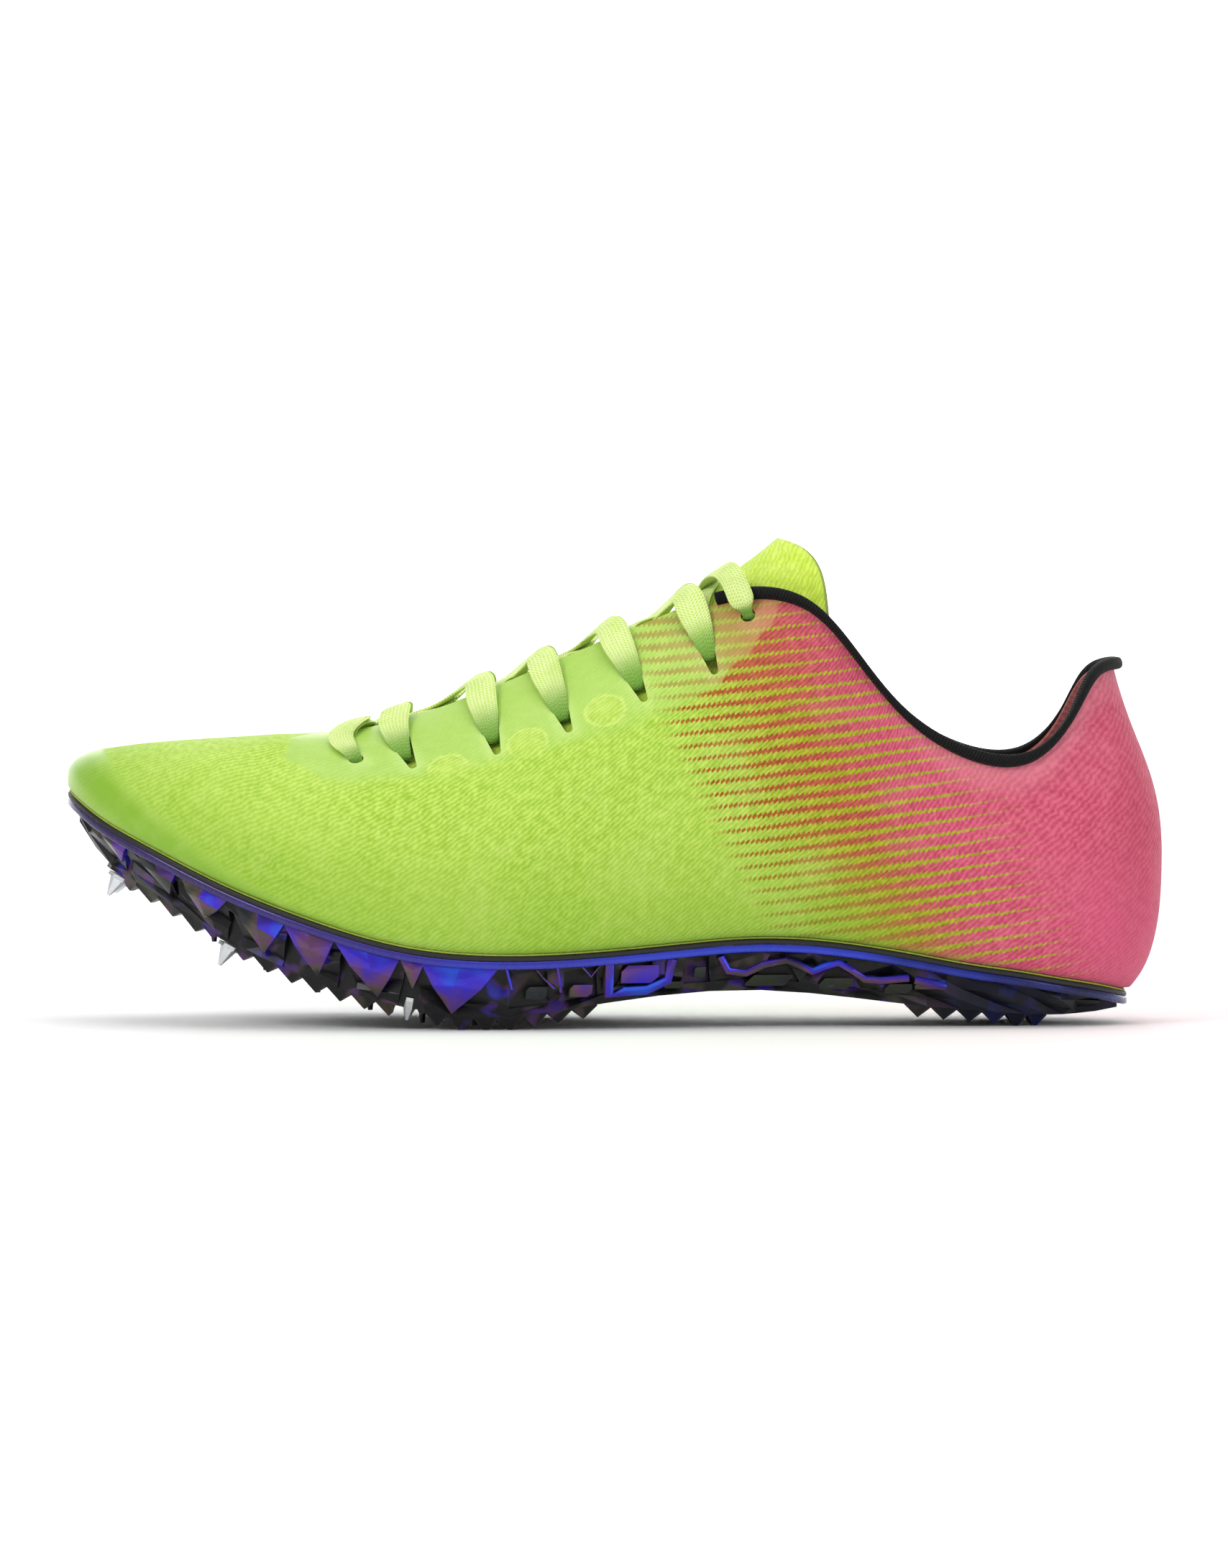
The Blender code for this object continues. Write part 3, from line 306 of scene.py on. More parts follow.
def shellMesh(name, outer, inner, closed, bulge=0.35):
    # a closed shell between two grids of points, with a rounded rim; faces of the inner grid take material 1
    columns, rows = outer.shape[:2]
    outerId = np.arange(columns * rows).reshape(columns, rows)
    innerId = outerId + columns * rows
    verts = [outer.reshape(-1, 3), inner.reshape(-1, 3)]
    faces = []
    kinds = []
    span = range(columns if closed else columns - 1)
    for ids, kind in ((outerId, 0), (innerId, 1)):
        for i in span:
            j = (i + 1) % columns
            for k in range(rows - 1):
                quad = (ids[i, k], ids[j, k], ids[j, k + 1], ids[i, k + 1])
                faces.append(quad if kind == 0 else quad[::-1])
                kinds.append(kind)
    if closed:
        loops = [[(i, 0) for i in range(columns)], [(i, rows - 1) for i in reversed(range(columns))]]
    else:
        ring = [(i, 0) for i in range(columns)] + [(columns - 1, k) for k in range(1, rows)]
        ring += [(i, rows - 1) for i in reversed(range(columns - 1))]
        ring += [(0, k) for k in reversed(range(1, rows - 1))]
        loops = [ring]
    total = 2 * columns * rows
    for loop in loops:
        out = np.array([outer[s] for s in loop])
        into = np.array([inner[s] for s in loop])
        beside = np.roll(out, -1, axis=0) - np.roll(out, 1, axis=0)
        thick = np.linalg.norm(out - into, axis=1, keepdims=True)
        way = unit(np.cross(beside, out - into))
        middle = (out + into) / 2 + way * thick * bulge
        verts.append(middle)
        count = len(loop)
        for n in range(count):
            m = (n + 1) % count
            a, b = outerId[loop[n]], outerId[loop[m]]
            c, d = total + n, total + m
            e, f = innerId[loop[n]], innerId[loop[m]]
            faces += [(b, a, c, d), (d, c, e, f)]
            kinds += [0, 1]
        total += count
    mesh = plainMesh(name, np.concatenate(verts), [tuple(int(v) for v in face) for face in faces])
    mesh.polygons.foreach_set("material_index", kinds)
    return mesh


def loftMesh(name, loops):
    # a tube through loops of points, with flat ends
    loops = np.asarray(loops, float)
    count, around = loops.shape[:2]
    faces = []
    for k in range(count - 1):
        for i in range(around):
            j = (i + 1) % around
            faces.append((k * around + i, k * around + j, (k + 1) * around + j, (k + 1) * around + i))
    faces.append(tuple(range(around))[::-1])
    faces.append(tuple((count - 1) * around + i for i in range(around)))
    mesh = plainMesh(name, loops.reshape(-1, 3), faces)
    turnOutward(mesh)
    return mesh


def turnOutward(mesh):
    work = bmesh.new()
    work.from_mesh(mesh)
    bmesh.ops.recalc_face_normals(work, faces=work.faces)
    work.to_mesh(mesh)
    work.free()


def applied(obj):
    # makes the object's modifiers real
    graph = bpy.context.evaluated_depsgraph_get()
    mesh = bpy.data.meshes.new_from_object(obj.evaluated_get(graph))
    old = obj.data
    obj.modifiers.clear()
    obj.data = mesh
    bpy.data.meshes.remove(old)


def shadeSmooth(obj, angle=50):
    obj.data.shade_smooth()
    obj.data.set_sharp_from_angle(angle=math.radians(angle))


# Shader helpers


class Signal:
    # a value on its way through a node tree, with the usual signs of arithmetic

    def __init__(self, tree, socket):
        self.tree = tree
        self.socket = socket

    def __add__(self, other):
        return maths("ADD", self, other)

    def __mul__(self, other):
        return maths("MULTIPLY", self, other)

    def __sub__(self, other):
        return maths("SUBTRACT", self, other)

    def __rsub__(self, other):
        return maths("SUBTRACT", other, self)

    def __truediv__(self, other):
        return maths("DIVIDE", self, other)


def fill(tree, node, values):
    # links for signals and plain settings for the rest, by socket name or number
    for label, value in values.items():
        if isinstance(value, Signal):
            tree.links.new(value.socket, node.inputs[label])
        else:
            node.inputs[label].default_value = value


def signalOf(kind, inputs, out=0, tree=None, **settings):
    # the signal that leaves a new node
    if tree is None:
        tree = next(value.tree for value in inputs.values() if isinstance(value, Signal))
    node = tree.nodes.new("ShaderNode" + kind)
    for label, value in settings.items():
        setattr(node, label, value)
    fill(tree, node, inputs)
    return Signal(tree, node.outputs[out])


def maths(operation, a, b=0.0, clamp=False):
    return signalOf("Math", {0: a, 1: b}, operation=operation, use_clamp=clamp)


def wave(value, length=1.0):
    return maths("SINE", value * (math.tau / length))


def ramp(value, low, high, start=0.0, end=1.0):
    return signalOf("MapRange", {0: value, 1: low, 2: high, 3: start, 4: end}, interpolation_type="SMOOTHSTEP")


def linear(red, green, blue):
    # a screen colour, 0 to 255, as the shader's own
    shades = (((c / 255 + 0.055) / 1.055) ** 2.4 if c > 10 else c / 255 / 12.92 for c in (red, green, blue))
    return (*shades, 1.0)


def mixColour(share, a, b):
    # of two signals or screen colours
    a, b = (value if isinstance(value, Signal) else linear(*value) for value in (a, b))
    return signalOf("Mix", {0: share, 6: a, 7: b}, 2, data_type="RGBA")


def mixValue(share, a, b):
    return signalOf("Mix", {0: share, 2: a, 3: b})


def noise(vector, scale, detail=2.0, roughness=0.5):
    inputs = {"Vector": vector, "Scale": scale, "Detail": detail, "Roughness": roughness}
    return signalOf("TexNoise", inputs)


def scaled(vector, amount, turn=(0, 0, 0)):
    return signalOf("Mapping", {"Vector": vector, "Rotation": turn, "Scale": amount})


def parts(vector):
    first = signalOf("SeparateXYZ", {0: vector})
    return [Signal(vector.tree, socket) for socket in first.socket.node.outputs]


def colourRamp(value, stops):
    # screen colours for a value from -0.5 to 0.5, at these places from 0 to 1
    colour = signalOf("ValToRGB", {0: maths("ADD", value, 0.5, clamp=True)})
    elements = colour.socket.node.color_ramp.elements
    while len(elements) < len(stops):
        elements.new(0.5)
    for element, (place, shade) in zip(elements, stops.items()):
        element.position = place
        element.color = linear(*shade)
    return colour


def groupOf(name, build, outputs, **inputs):
    # a shader group; an input without a number is a vector
    tree = bpy.data.node_groups.new(name, "ShaderNodeTree")
    for label, value in inputs.items():
        kind = "NodeSocketVector" if value is None else "NodeSocketFloat"
        socket = tree.interface.new_socket(label, in_out="INPUT", socket_type=kind)
        if value is not None:
            socket.default_value = value
    for label, kind in outputs.items():
        tree.interface.new_socket(label, in_out="OUTPUT", socket_type="NodeSocket" + kind)
    given = tree.nodes.new("NodeGroupInput").outputs
    results = build(*(Signal(tree, given[label]) for label in inputs))
    fill(tree, tree.nodes.new("NodeGroupOutput"), dict(zip(outputs, results)))
    return tree


def useGroup(group, **values):
    first = signalOf("Group", values, node_tree=group)
    return {socket.name: Signal(first.tree, socket) for socket in first.socket.node.outputs}


def newMaterial(name):
    made = bpy.data.materials.new(name)
    made.use_nodes = True
    return made


def paint(material, bump=None, **values):
    # the values and signals of the material's shader, and the height, distance and strength of its bump
    tree = material.node_tree
    values = {label.replace("_", " "): value for label, value in values.items()}
    if bump:
        values["Normal"] = signalOf("Bump", dict(zip(("Height", "Distance", "Strength"), bump)))
    fill(tree, tree.nodes["Principled BSDF"], values)
    return material


def coordinates(material, kind="Object"):
    return signalOf("TexCoord", {}, kind, material.node_tree)


def fieldOf(material, name):
    return signalOf("Attribute", {}, "Fac", material.node_tree, attribute_name=name)


# Effects that several materials share


def twillOf(spot, pitch, broken):
    # diagonal broken twill: its lines, and how light each thread is
    u, v, _ = parts(spot)
    cross = u * 0.64 + v * -0.77 + noise(spot, 260.0) * pitch * 1.5
    length = u * 0.77 + v * 0.64
    line = wave(cross / pitch)
    knot = maths("SINE", length / (pitch * 2.3) * math.tau + cross * 9000)
    height = line + knot * broken * line + noise(spot, 1500.0, 1.0) * 0.9
    tone = height * 0.14 + noise(spot, 420.0, 3.0, 0.6) * 0.9
    return ramp(height, -1.2, 2.2), ramp(tone, 0.2, 0.85)


def wearOf(spot, scale, amount):
    # soft dust and rubbed places
    return [ramp(noise(spot, scale, 5.0, 0.65), 0.48, 0.72) * amount]


streaks = {
    "start": 0.020,
    "reach": 0.092,
    "lean": 0.50,
    "level": 0.06,
    "slope": 0.10,
    "curl": 0.45,
    "wobble": 0.0009,
    "pitch": 0.0032,
    "dot": 0.0012,
    "dotLean": -0.45,
}


def fadeOf(spot):
    # streaks from lime to pink: how far along the change is, and where a streak lies, dotted at its front
    x, _, z = parts(spot)
    back = x - streaks["start"]
    taken = (x + (z - streaks["level"]) * streaks["lean"] - streaks["start"]) / streaks["reach"]
    level = z - back * streaks["slope"] - back * back * streaks["curl"]
    level = (level + noise(spot, 60.0) * streaks["wobble"]) / streaks["pitch"]
    middle = maths("ABSOLUTE", maths("FRACT", level) - 0.5) * 2.0
    dots = wave(x + z * streaks["dotLean"], streaks["dot"]) * ramp(taken, 0.9, 0.1, 0.10, 0.22)
    grain = noise(spot, 1100.0, 1.0) - 0.5
    cover = taken + 0.14 + ramp(z, 0.080, 0.096, 0.0, 0.22) - middle + dots + grain * 0.35
    return maths("ADD", taken, 0.0, clamp=True), ramp(cover, -0.10, 0.12) * ramp(taken, -0.03, 0.07)


def shimmerOf(spot, normal, shift):
    # the plate's colours: olive, mauve, violet and blue, by where a facet lies and by the way that it faces;
    # the part by facing is a painted iridescent reflection
    nx, _, nz = parts(normal)
    cloud = noise(spot, 75.0)
    turn = nx * 0.34 + nz * 0.32 + (cloud - 0.5) * 2.0 + shift + (parts(spot)[0] * -1.3 - 0.09)
    colour = colourRamp(turn, {
        0.0: (44, 50, 36),
        0.20: (88, 80, 62),
        0.34: (104, 62, 106),
        0.52: (74, 44, 156),
        0.74: (56, 38, 196),
        1.0: (46, 84, 222),
    })
    return colour, cloud


twill = groupOf(
    "brokenTwill", twillOf, {"Height": "Float", "Tone": "Float"}, Vector=None, Pitch=0.001, Break=0.5
)
grime = groupOf("softWear", wearOf, {"Mask": "Float"}, Vector=None, Scale=60.0, Amount=0.2)
pinkStreaks = groupOf("pinkStreaks", fadeOf, {"Taken": "Float", "Streak": "Float"}, Vector=None)
shimmer = groupOf(
    "plateShimmer", shimmerOf, {"Colour": "Color", "Cloud": "Float"}, Vector=None, Normal=None, Shift=0.0
)
print("stage: shared effects made")


# Upper

upperSettings = {
    "columnsPerRib": 12,
    "rows": 92,
    "filmStep": 0.00026,
    "filmEdgeWidth": 0.0014,
    "petalRadius": 0.0057,
    "randTop": 0.017,
    "randEnd": 5.3,
    "slotLength": 0.0172,
    "slotWidth": 0.0058,
    "slotTip": 0.0020,
    "eyeletRadius": 0.0019,
    "filmFade": (0.0295, 0.0365),  # the drops between which the film melts into the cloth
}
clothFields = ("filmEdge", "randEdge", "petal", "dish", "wallUp", "topDown")

# Lace holes down each side: rib of the line's start, ribs back in 10 mm, drop below the edge, slot or eyelet
laceHoles = [
    (2.45, 0.68, 0.0230, False),
    (3.82, 0.36, 0.0115, True),
    (5.30, 0.19, 0.0125, True),
    (6.22, 0.16, 0.0120, True),
    (7.18, 0.15, 0.0095, True),
    (8.25, 0.10, 0.0070, True),
    (8.93, 0.10, 0.0078, False),
]

# The film's lower edge: rib, and drop below the throat's edge
filmEdge = [
    (0.6, 0.004), (1.3, 0.010), (2.2, 0.018), (3.2, 0.027), (4.2, 0.0345), (5.2, 0.0400), (6.2, 0.0390),
    (7.0, 0.0360), (7.8, 0.0330), (8.4, 0.0290), (8.85, 0.0210), (9.30, 0.0120), (9.70, 0.0),
]
# Round petals of bare cloth between the slots: rib and drop of each middle
petals = [(5.32, 0.0325), (6.22, 0.0298), (7.10, 0.0262)]

# Soft troughs and ridges of the worn cloth: spots (rib, drop) along each, its depth (out is plus) and width
creases = [
    ([(2.6, 0.030), (3.4, 0.042), (4.3, 0.050)], -0.00055, 0.0060),
    ([(3.6, 0.034), (4.6, 0.046), (5.6, 0.052)], -0.00040, 0.0070),
    ([(1.6, 0.020), (2.4, 0.038), (3.4, 0.056)], 0.00045, 0.0080),
    ([(6.0, 0.040), (6.9, 0.052), (7.6, 0.066)], -0.00035, 0.0090),
    ([(9.5, 0.022), (9.9, 0.045), (9.6, 0.070)], -0.00060, 0.0085),
    ([(10.6, 0.012), (11.4, 0.030), (11.6, 0.055)], -0.00050, 0.0080),
    ([(11.4, 0.0075), (12.6, 0.0070), (14.0, 0.0070), (15.0, 0.0075)], 0.00060, 0.0038),
    ([(12.0, 0.018), (13.2, 0.016), (14.4, 0.018)], -0.00055, 0.0060),
    ([(15.2, 0.020), (15.4, 0.040), (15.3, 0.055)], -0.00045, 0.0070),
    ([(16.2, 0.012), (16.4, 0.040), (16.5, 0.065)], 0.00040, 0.0080),
]


def bindingDrop(places):
    share = smoothStep((ribNumber(places) - bindingSettings["start"]) / bindingSettings["ramp"])
    return share * (bindingSettings["height"] - bindingSettings["tuck"])


def filmDrop(rib):
    # eased between the table's rows
    spots = np.array(filmEdge)
    rib = np.asarray(rib, float)
    i = np.clip(np.searchsorted(spots[:, 0], rib) - 1, 0, len(spots) - 2)
    share = smoothStep((rib - spots[i, 0]) / (spots[i + 1, 0] - spots[i, 0]))
    return np.where(rib > spots[-1, 0], 0.0, spots[i, 1] + (spots[i + 1, 1] - spots[i, 1]) * share)


def holeFrame(hole, drop, side):
    return skinFrame(hole[0] + hole[1] * drop * 100, drop, side)


def slotOutline(length, wide, narrow, steps=8):
    points = []
    for k in range(steps + 1):
        turn = math.pi / 2 + math.pi * k / steps
        points.append((wide / 2 + math.cos(turn) * wide / 2, math.sin(turn) * wide / 2))
    for k in range(steps + 1):
        turn = -math.pi / 2 + math.pi * k / steps
        points.append((length - narrow / 2 + math.cos(turn) * narrow / 2, math.sin(turn) * narrow / 2))
    return points


def slotCutter():
    settings = upperSettings
    reach = last["wall"] * 3
    turns = np.arange(20) * math.tau / 20
    ring = [(math.cos(t) * settings["eyeletRadius"], math.sin(t) * settings["eyeletRadius"]) for t in turns]
    wedge = slotOutline(settings["slotLength"], settings["slotWidth"], settings["slotTip"])
    work = bmesh.new()
    for side in (-1, 1):
        for hole in laceHoles:
            slot = hole[3]
            point = holeFrame(hole, hole[2], side)[0]
            long = settings["slotLength"] if slot else settings["eyeletRadius"]
            end = holeFrame(hole, hole[2] + long, side)[0]
            down = unit(end - point)
            normal = holeFrame(hole, hole[2] + (settings["slotLength"] / 2 if slot else 0), side)[3]
            normal = unit(normal - down * (normal @ down))
            along = np.cross(normal, down)
            flat = [point + down * x + along * y for x, y in (wedge if slot else ring)]
            low = [work.verts.new(p - normal * reach) for p in flat]
            high = [work.verts.new(p + normal * reach) for p in flat]
            made = [work.faces.new(low), work.faces.new(high)]
            for i in range(len(flat)):
                j = (i + 1) % len(flat)
                made.append(work.faces.new((low[i], low[j], high[j], high[i])))
            bmesh.ops.recalc_face_normals(work, faces=made)
    for face in work.faces:
        face.material_index = 2
    mesh = bpy.data.meshes.new("slotCutter")
    work.to_mesh(mesh)
    work.free()
    return newObject("slotCutter", mesh)


def upperGrid():
    # the outer skin as columns of points, and the fields that the relief and the material read
    settings = upperSettings
    per = settings["columnsPerRib"]
    places = np.concatenate([a + (b - a) * np.arange(per) / per for a, b in zip(knots, knots[1:])])
    lines = skinLines(places)
    foot = feather(places)
    out = outward(places)
    wall = last["wall"]
    margin = foot - out * last["margin"]
    margin[:, 2] = soleHeight(margin[:, 0])
    turn = foot - out * wall * 1.6
    turn[:, 2] = soleHeight(turn[:, 0])
    start = foot + upWay * wall * 0.9 + out * wall * 0.15
    corner = bezier(turn, turn + out * wall, foot, start, np.array((0.0, 0.3, 0.55, 0.8)))
    totals = np.array([lineSteps(line)[-1] for line in lines])
    tops = totals - bindingDrop(places)
    rows = settings["rows"]
    shares = np.linspace(0, 1, rows)
    lengths = wall + (tops - wall)[:, None] * shares[None, :]
    side = np.stack([alongLine(line, wanted) for line, wanted in zip(lines, lengths)])
    blend = np.exp(-((lengths - wall) / (wall * 1.2)) ** 2)[:, :, None]
    side = side + out[:, None, :] * wall * 0.15 * blend
    grid = np.concatenate([margin[:, None], corner, side], axis=1)
    under = grid.shape[1] - rows
    fullLengths = np.concatenate([np.zeros((len(places), under)), lengths], axis=1)
    drops = totals[:, None] - fullLengths
    numbers = np.repeat(ribNumber(places)[:, None], grid.shape[1], axis=1)
    return places, grid, fullLengths, drops, numbers, under


def reliefOf(grid, lengths, drops, numbers, under):
    settings = upperSettings
    shape = lengths.shape
    points = grid.reshape(-1, 3)
    edge = filmDrop(numbers)
    ahead = filmDrop(numbers + 0.04)
    slope = (ahead - edge) / (0.04 * 0.019)
    film = (edge - drops) / np.sqrt(1 + np.minimum(slope**2, 9.0))
    for side in (-1, 1):
        for rib, drop in petals:
            centre = skinFrame(rib, drop, side)[0]
            away = np.linalg.norm(points - centre, axis=1).reshape(shape)
            film = np.minimum(film, away - settings["petalRadius"])
    fadeStart, fadeEnd = settings["filmFade"]
    low = 1 - smoothStep((drops - fadeStart) / (fadeEnd - fadeStart))
    randTop = settings["randTop"] * (1 - smoothStep(numbers / settings["randEnd"]))
    rand = np.where(randTop > 0.0004, randTop - lengths, -0.02)
    width = settings["filmEdgeWidth"]
    relief = settings["filmStep"] * smoothStep(film / width + 0.5) * low
    relief += settings["filmStep"] * smoothStep(rand / (width * 1.4) + 0.5) * smoothStep(randTop / 0.003)
    petal = np.zeros(shape)
    dish = np.zeros(shape)
    for side in (-1, 1):
        for rib, drop in petals:
            centre = skinFrame(rib, drop, side)[0]
            away = np.linalg.norm(points - centre, axis=1).reshape(shape)
            petal = np.maximum(petal, smoothStep(1.2 - away / settings["petalRadius"]))
        for hole in laceHoles:
            long = settings["slotLength"] if hole[3] else 0.002
            path = [holeFrame(hole, hole[2] + long * k, side)[0] for k in (0, 0.5, 1)]
            near = distanceToPath(points, path).reshape(shape)
            dish = np.maximum(dish, np.exp(-(near / 0.0042) ** 2))
        for spots, depth, wide in creases:
            path = np.array([skinFrame(rib, drop, side)[0] for rib, drop in spots])
            steps = lineSteps(path)
            fine = spline(steps, path)(np.linspace(0, steps[-1], 14))
            relief += 1.6 * depth * np.exp(-(distanceToPath(points, fine).reshape(shape) / wide) ** 2)
    relief += 0.00075 * petal - 0.00025 * dish
    relief *= smoothStep((lengths - 0.0005) / 0.004)
    relief[:, :under] = 0
    return relief, film, rand, petal, dish


def clothSpots(grid, lengths, per):
    # cloth coordinates in metres: u along each row from the middle of its own side, v up the wall
    heel = heelRib * per
    rows = grid.shape[1]
    u = np.zeros(grid.shape[:2])
    steps = np.linalg.norm(np.roll(grid, -1, axis=0) - grid, axis=2)
    lateral, medial = int(8.5 * per), len(grid) - int(8.5 * per)
    for i in range(lateral, heel):
        u[i + 1] = u[i] + steps[i]
    for i in range(lateral, 0, -1):
        u[i - 1] = u[i] - steps[i - 1]
    other = np.zeros((2, rows))
    run = np.zeros(rows)
    for i in range(medial, len(grid)):
        run = run - steps[i]
        if i + 1 < len(grid):
            u[i + 1] = run
    other[0] = run
    run = np.zeros(rows)
    for i in range(medial, heel, -1):
        run = run + steps[i - 1]
        if i - 1 > heel:
            u[i - 1] = run
    other[1] = run
    return u, other


def makeUpper():
    per = upperSettings["columnsPerRib"]
    places, grid, lengths, drops, numbers, under = upperGrid()
    normals = gridNormals(grid, True)
    if np.sum(normals[:, under + 20] * outward(places)) < 0:
        normals = -normals
    relief, film, rand, petal, dish = reliefOf(grid, lengths, drops, numbers, under)
    outer = grid + normals * relief[:, :, None]
    inner = grid - normals * last["wall"]
    mesh = shellMesh("upperSkin", outer, inner, True)
    turnOutward(mesh)
    upper = newObject("upperSkin", mesh, [upperCloth(), liningCloth(), cutEdge()])
    cutter = slotCutter()
    cut = upper.modifiers.new("slots", "BOOLEAN")
    cut.operation = "DIFFERENCE"
    cut.solver = "MANIFOLD"
    cut.object = cutter
    applied(upper)
    bpy.data.objects.remove(cutter)
    mesh = upper.data
    tree = KDTree(grid.shape[0] * grid.shape[1])
    flat = outer.reshape(-1, 3)
    for index, point in enumerate(flat):
        tree.insert(point, index)
    tree.balance()
    u, other = clothSpots(grid, lengths, per)
    fields = np.stack([f.reshape(-1) for f in (film, rand, petal, dish, lengths, drops)], axis=1)
    found = np.empty((len(mesh.vertices), 3), int)
    weights = np.empty((len(mesh.vertices), 3))
    for n, vertex in enumerate(mesh.vertices):
        for k, (_, index, distance) in enumerate(tree.find_n(vertex.co, 3)):
            found[n, k] = index
            weights[n, k] = 1 / (distance + 1e-6) ** 2
    weights /= weights.sum(axis=1, keepdims=True)
    values = np.einsum("nk,nkf->nf", weights, fields[found])
    for column, name in enumerate(clothFields):
        floatField(mesh, name, values[:, column])
    corners = np.empty(len(mesh.loops), np.int64)
    mesh.loops.foreach_get("vertex_index", corners)
    rows = grid.shape[1]
    column = found[:, 0] // rows
    sideTag = np.where(column == 0, 0, np.sign(column - heelRib * per))
    uHere = np.einsum("nk,nk->n", weights, u.reshape(-1)[found])
    layer = mesh.uv_layers.new(name="cloth")
    uv = np.column_stack([uHere[corners], values[corners, 4]])
    for face in mesh.polygons:
        loops = range(face.loop_start, face.loop_start + face.loop_total)
        tags = [sideTag[corners[k]] for k in loops]
        if 0 in tags and sum(tags) > 0:  # a medial face beside the toe or the heel line
            for k in loops:
                vertex = corners[k]
                if sideTag[vertex] == 0:
                    uv[k, 0] = other[0 if column[vertex] == 0 else 1][found[vertex, 0] % rows]
    layer.data.foreach_set("uv", uv.astype(np.float32).ravel())
    shadeSmooth(upper, 48)
    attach(upper, "root")
    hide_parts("upper")


def limeAndPink(place, tone):
    # the cloth's own colour: lime to the front, pink to the heel, orange and pink streaks where they meet
    fade = useGroup(pinkStreaks, Vector=place)
    taken = fade["Taken"]
    lime = mixColour(tone, (148, 190, 46), (196, 226, 98))
    lime = mixColour(ramp(noise(place, 22.0), 0.35, 0.7, 0.0, 0.3), lime, (206, 232, 112))
    yellow = mixColour(tone, (138, 142, 10), (184, 184, 34))
    salmon = mixColour(tone, (156, 62, 42), (196, 96, 66))
    rose = mixColour(tone, (184, 62, 90), (220, 102, 128))
    orange = mixColour(tone, (146, 72, 8), (180, 102, 22))
    ground = mixColour(ramp(taken, 0.0, 0.42), lime, yellow)
    ground = mixColour(ramp(taken, 0.66, 1.0), ground, rose)
    streak = mixColour(ramp(taken, 0.12, 0.40), orange, salmon)
    streak = mixColour(ramp(taken, 0.34, 0.66), streak, rose)
    return mixColour(fade["Streak"], ground, streak), ramp(taken, 0.20, 0.60), taken


def upperCloth():
    made = newMaterial("upperCloth")
    place = coordinates(made)
    x = parts(place)[0]
    weave = useGroup(twill, Vector=coordinates(made, "UV"), Pitch=0.00105, Break=0.45)
    base, pink, taken = limeAndPink(place, weave["Tone"])
    edge, rand, petal, dish, wallUp, topDown = (fieldOf(made, name) for name in clothFields)
    fadeStart, fadeEnd = upperSettings["filmFade"]
    low = ramp(topDown, fadeEnd, fadeStart)
    film = ramp(edge, -0.0004, 0.0006) * low
    randFilm = ramp(rand, -0.0006, 0.0014)
    smoothPlace = maths("MAXIMUM", film, randFilm)
    pale = mixColour(pink, (204, 230, 140), (226, 160, 140))
    filmTint = mixColour(pink, (163, 204, 80), (206, 122, 96))
    filmTint = mixColour(ramp(dish, 0.25, 0.9, 0.0, 0.45), filmTint, pale)
    rim = ramp(maths("ABSOLUTE", edge + 0.0006), 0.0009, 0.0) * low * ramp(petal, 0.02, 0.25)
    worn = useGroup(grime, Vector=place, Scale=70.0, Amount=0.14)["Mask"]
    layers = [
        (film * ramp(x, -0.002, 0.010, 0.74, 0.42), filmTint),
        (randFilm * 0.6, (158, 198, 66)),
        # painted shade: a darker, deeper green band just below the rand's upper edge
        (ramp(rand, 0.0010, 0.0050) * ramp(rand, 0.0135, 0.0085) * 0.75, (122, 174, 18)),
        (petal * 0.34, (206, 232, 112)),
        (rim * 0.42, (218, 240, 146)),
        # painted highlight: a pale pink band just under the collar's edge towards the heel
        (ramp(topDown, 0.014, 0.0045) * ramp(x, 0.062, 0.092) * 0.38, (236, 150, 162)),
        # painted shade: the lime darker towards the bottom of the wall
        (ramp(wallUp, 0.037, 0.002) * (0.50 - pink * 0.50), (126, 172, 34)),
        # painted light: the pink lighter towards the bottom of the wall
        (ramp(wallUp, 0.046, 0.012) * pink * 0.5 * ramp(taken, 0.72, 1.0), (226, 96, 138)),
        # painted shade: darker along the very foot of the wall, where the upper meets the plate
        (ramp(wallUp, 0.0050, 0.0008) * 0.4, mixColour(pink, (124, 164, 40), (170, 60, 80))),
        (ramp(x, 0.118, 0.136) * 0.35, (186, 62, 92)),
        (worn, mixColour(pink, (208, 228, 134), (230, 136, 148))),
    ]
    for share, colour in layers:
        base = mixColour(share, base, colour)
    rough = mixValue(smoothPlace, mixValue(weave["Tone"], 0.84, 0.68), 0.42)
    rough = rough + (noise(place, 700.0) - 0.5) * 0.12
    height = weave["Height"] * mixValue(smoothPlace, 1.0, 0.22) + film * 0.35 + noise(place, 160.0, 3.0) * 0.9
    return paint(
        made, (height, 0.00015, 0.85), Base_Color=base, Roughness=rough, Coat_Weight=smoothPlace * 0.18,
        Sheen_Weight=0.10, Sheen_Roughness=0.45, Coat_Roughness=0.30, IOR=1.4,
    )


def liningCloth():
    made = newMaterial("liningCloth")
    place = coordinates(made)
    weave = useGroup(twill, Vector=scaled(place, (1, 1, 1), (0, math.radians(90), 0)), Pitch=0.0016, Break=0.3)
    base = mixColour(0.35, limeAndPink(place, weave["Tone"])[0], (84, 110, 30))
    return paint(made, (weave["Height"], 0.00015, 0.8), Base_Color=base, Roughness=0.9, Sheen_Weight=0.2)


def cutEdge():
    made = newMaterial("slotCutEdge")
    place = coordinates(made)
    grain = noise(place, 1800.0)
    # painted shade: the cloth's colour darkened towards dark green on the slots' cut walls
    base = mixColour(0.45, limeAndPink(place, grain)[0], (74, 128, 20))
    return paint(made, (grain, 0.0001, 0.7), Base_Color=base, Roughness=0.7)


# Lace

laceSettings = {
    "width": 0.0062,
    "thickness": 0.0011,
    "step": 0.0011,
    "around": 14,
}


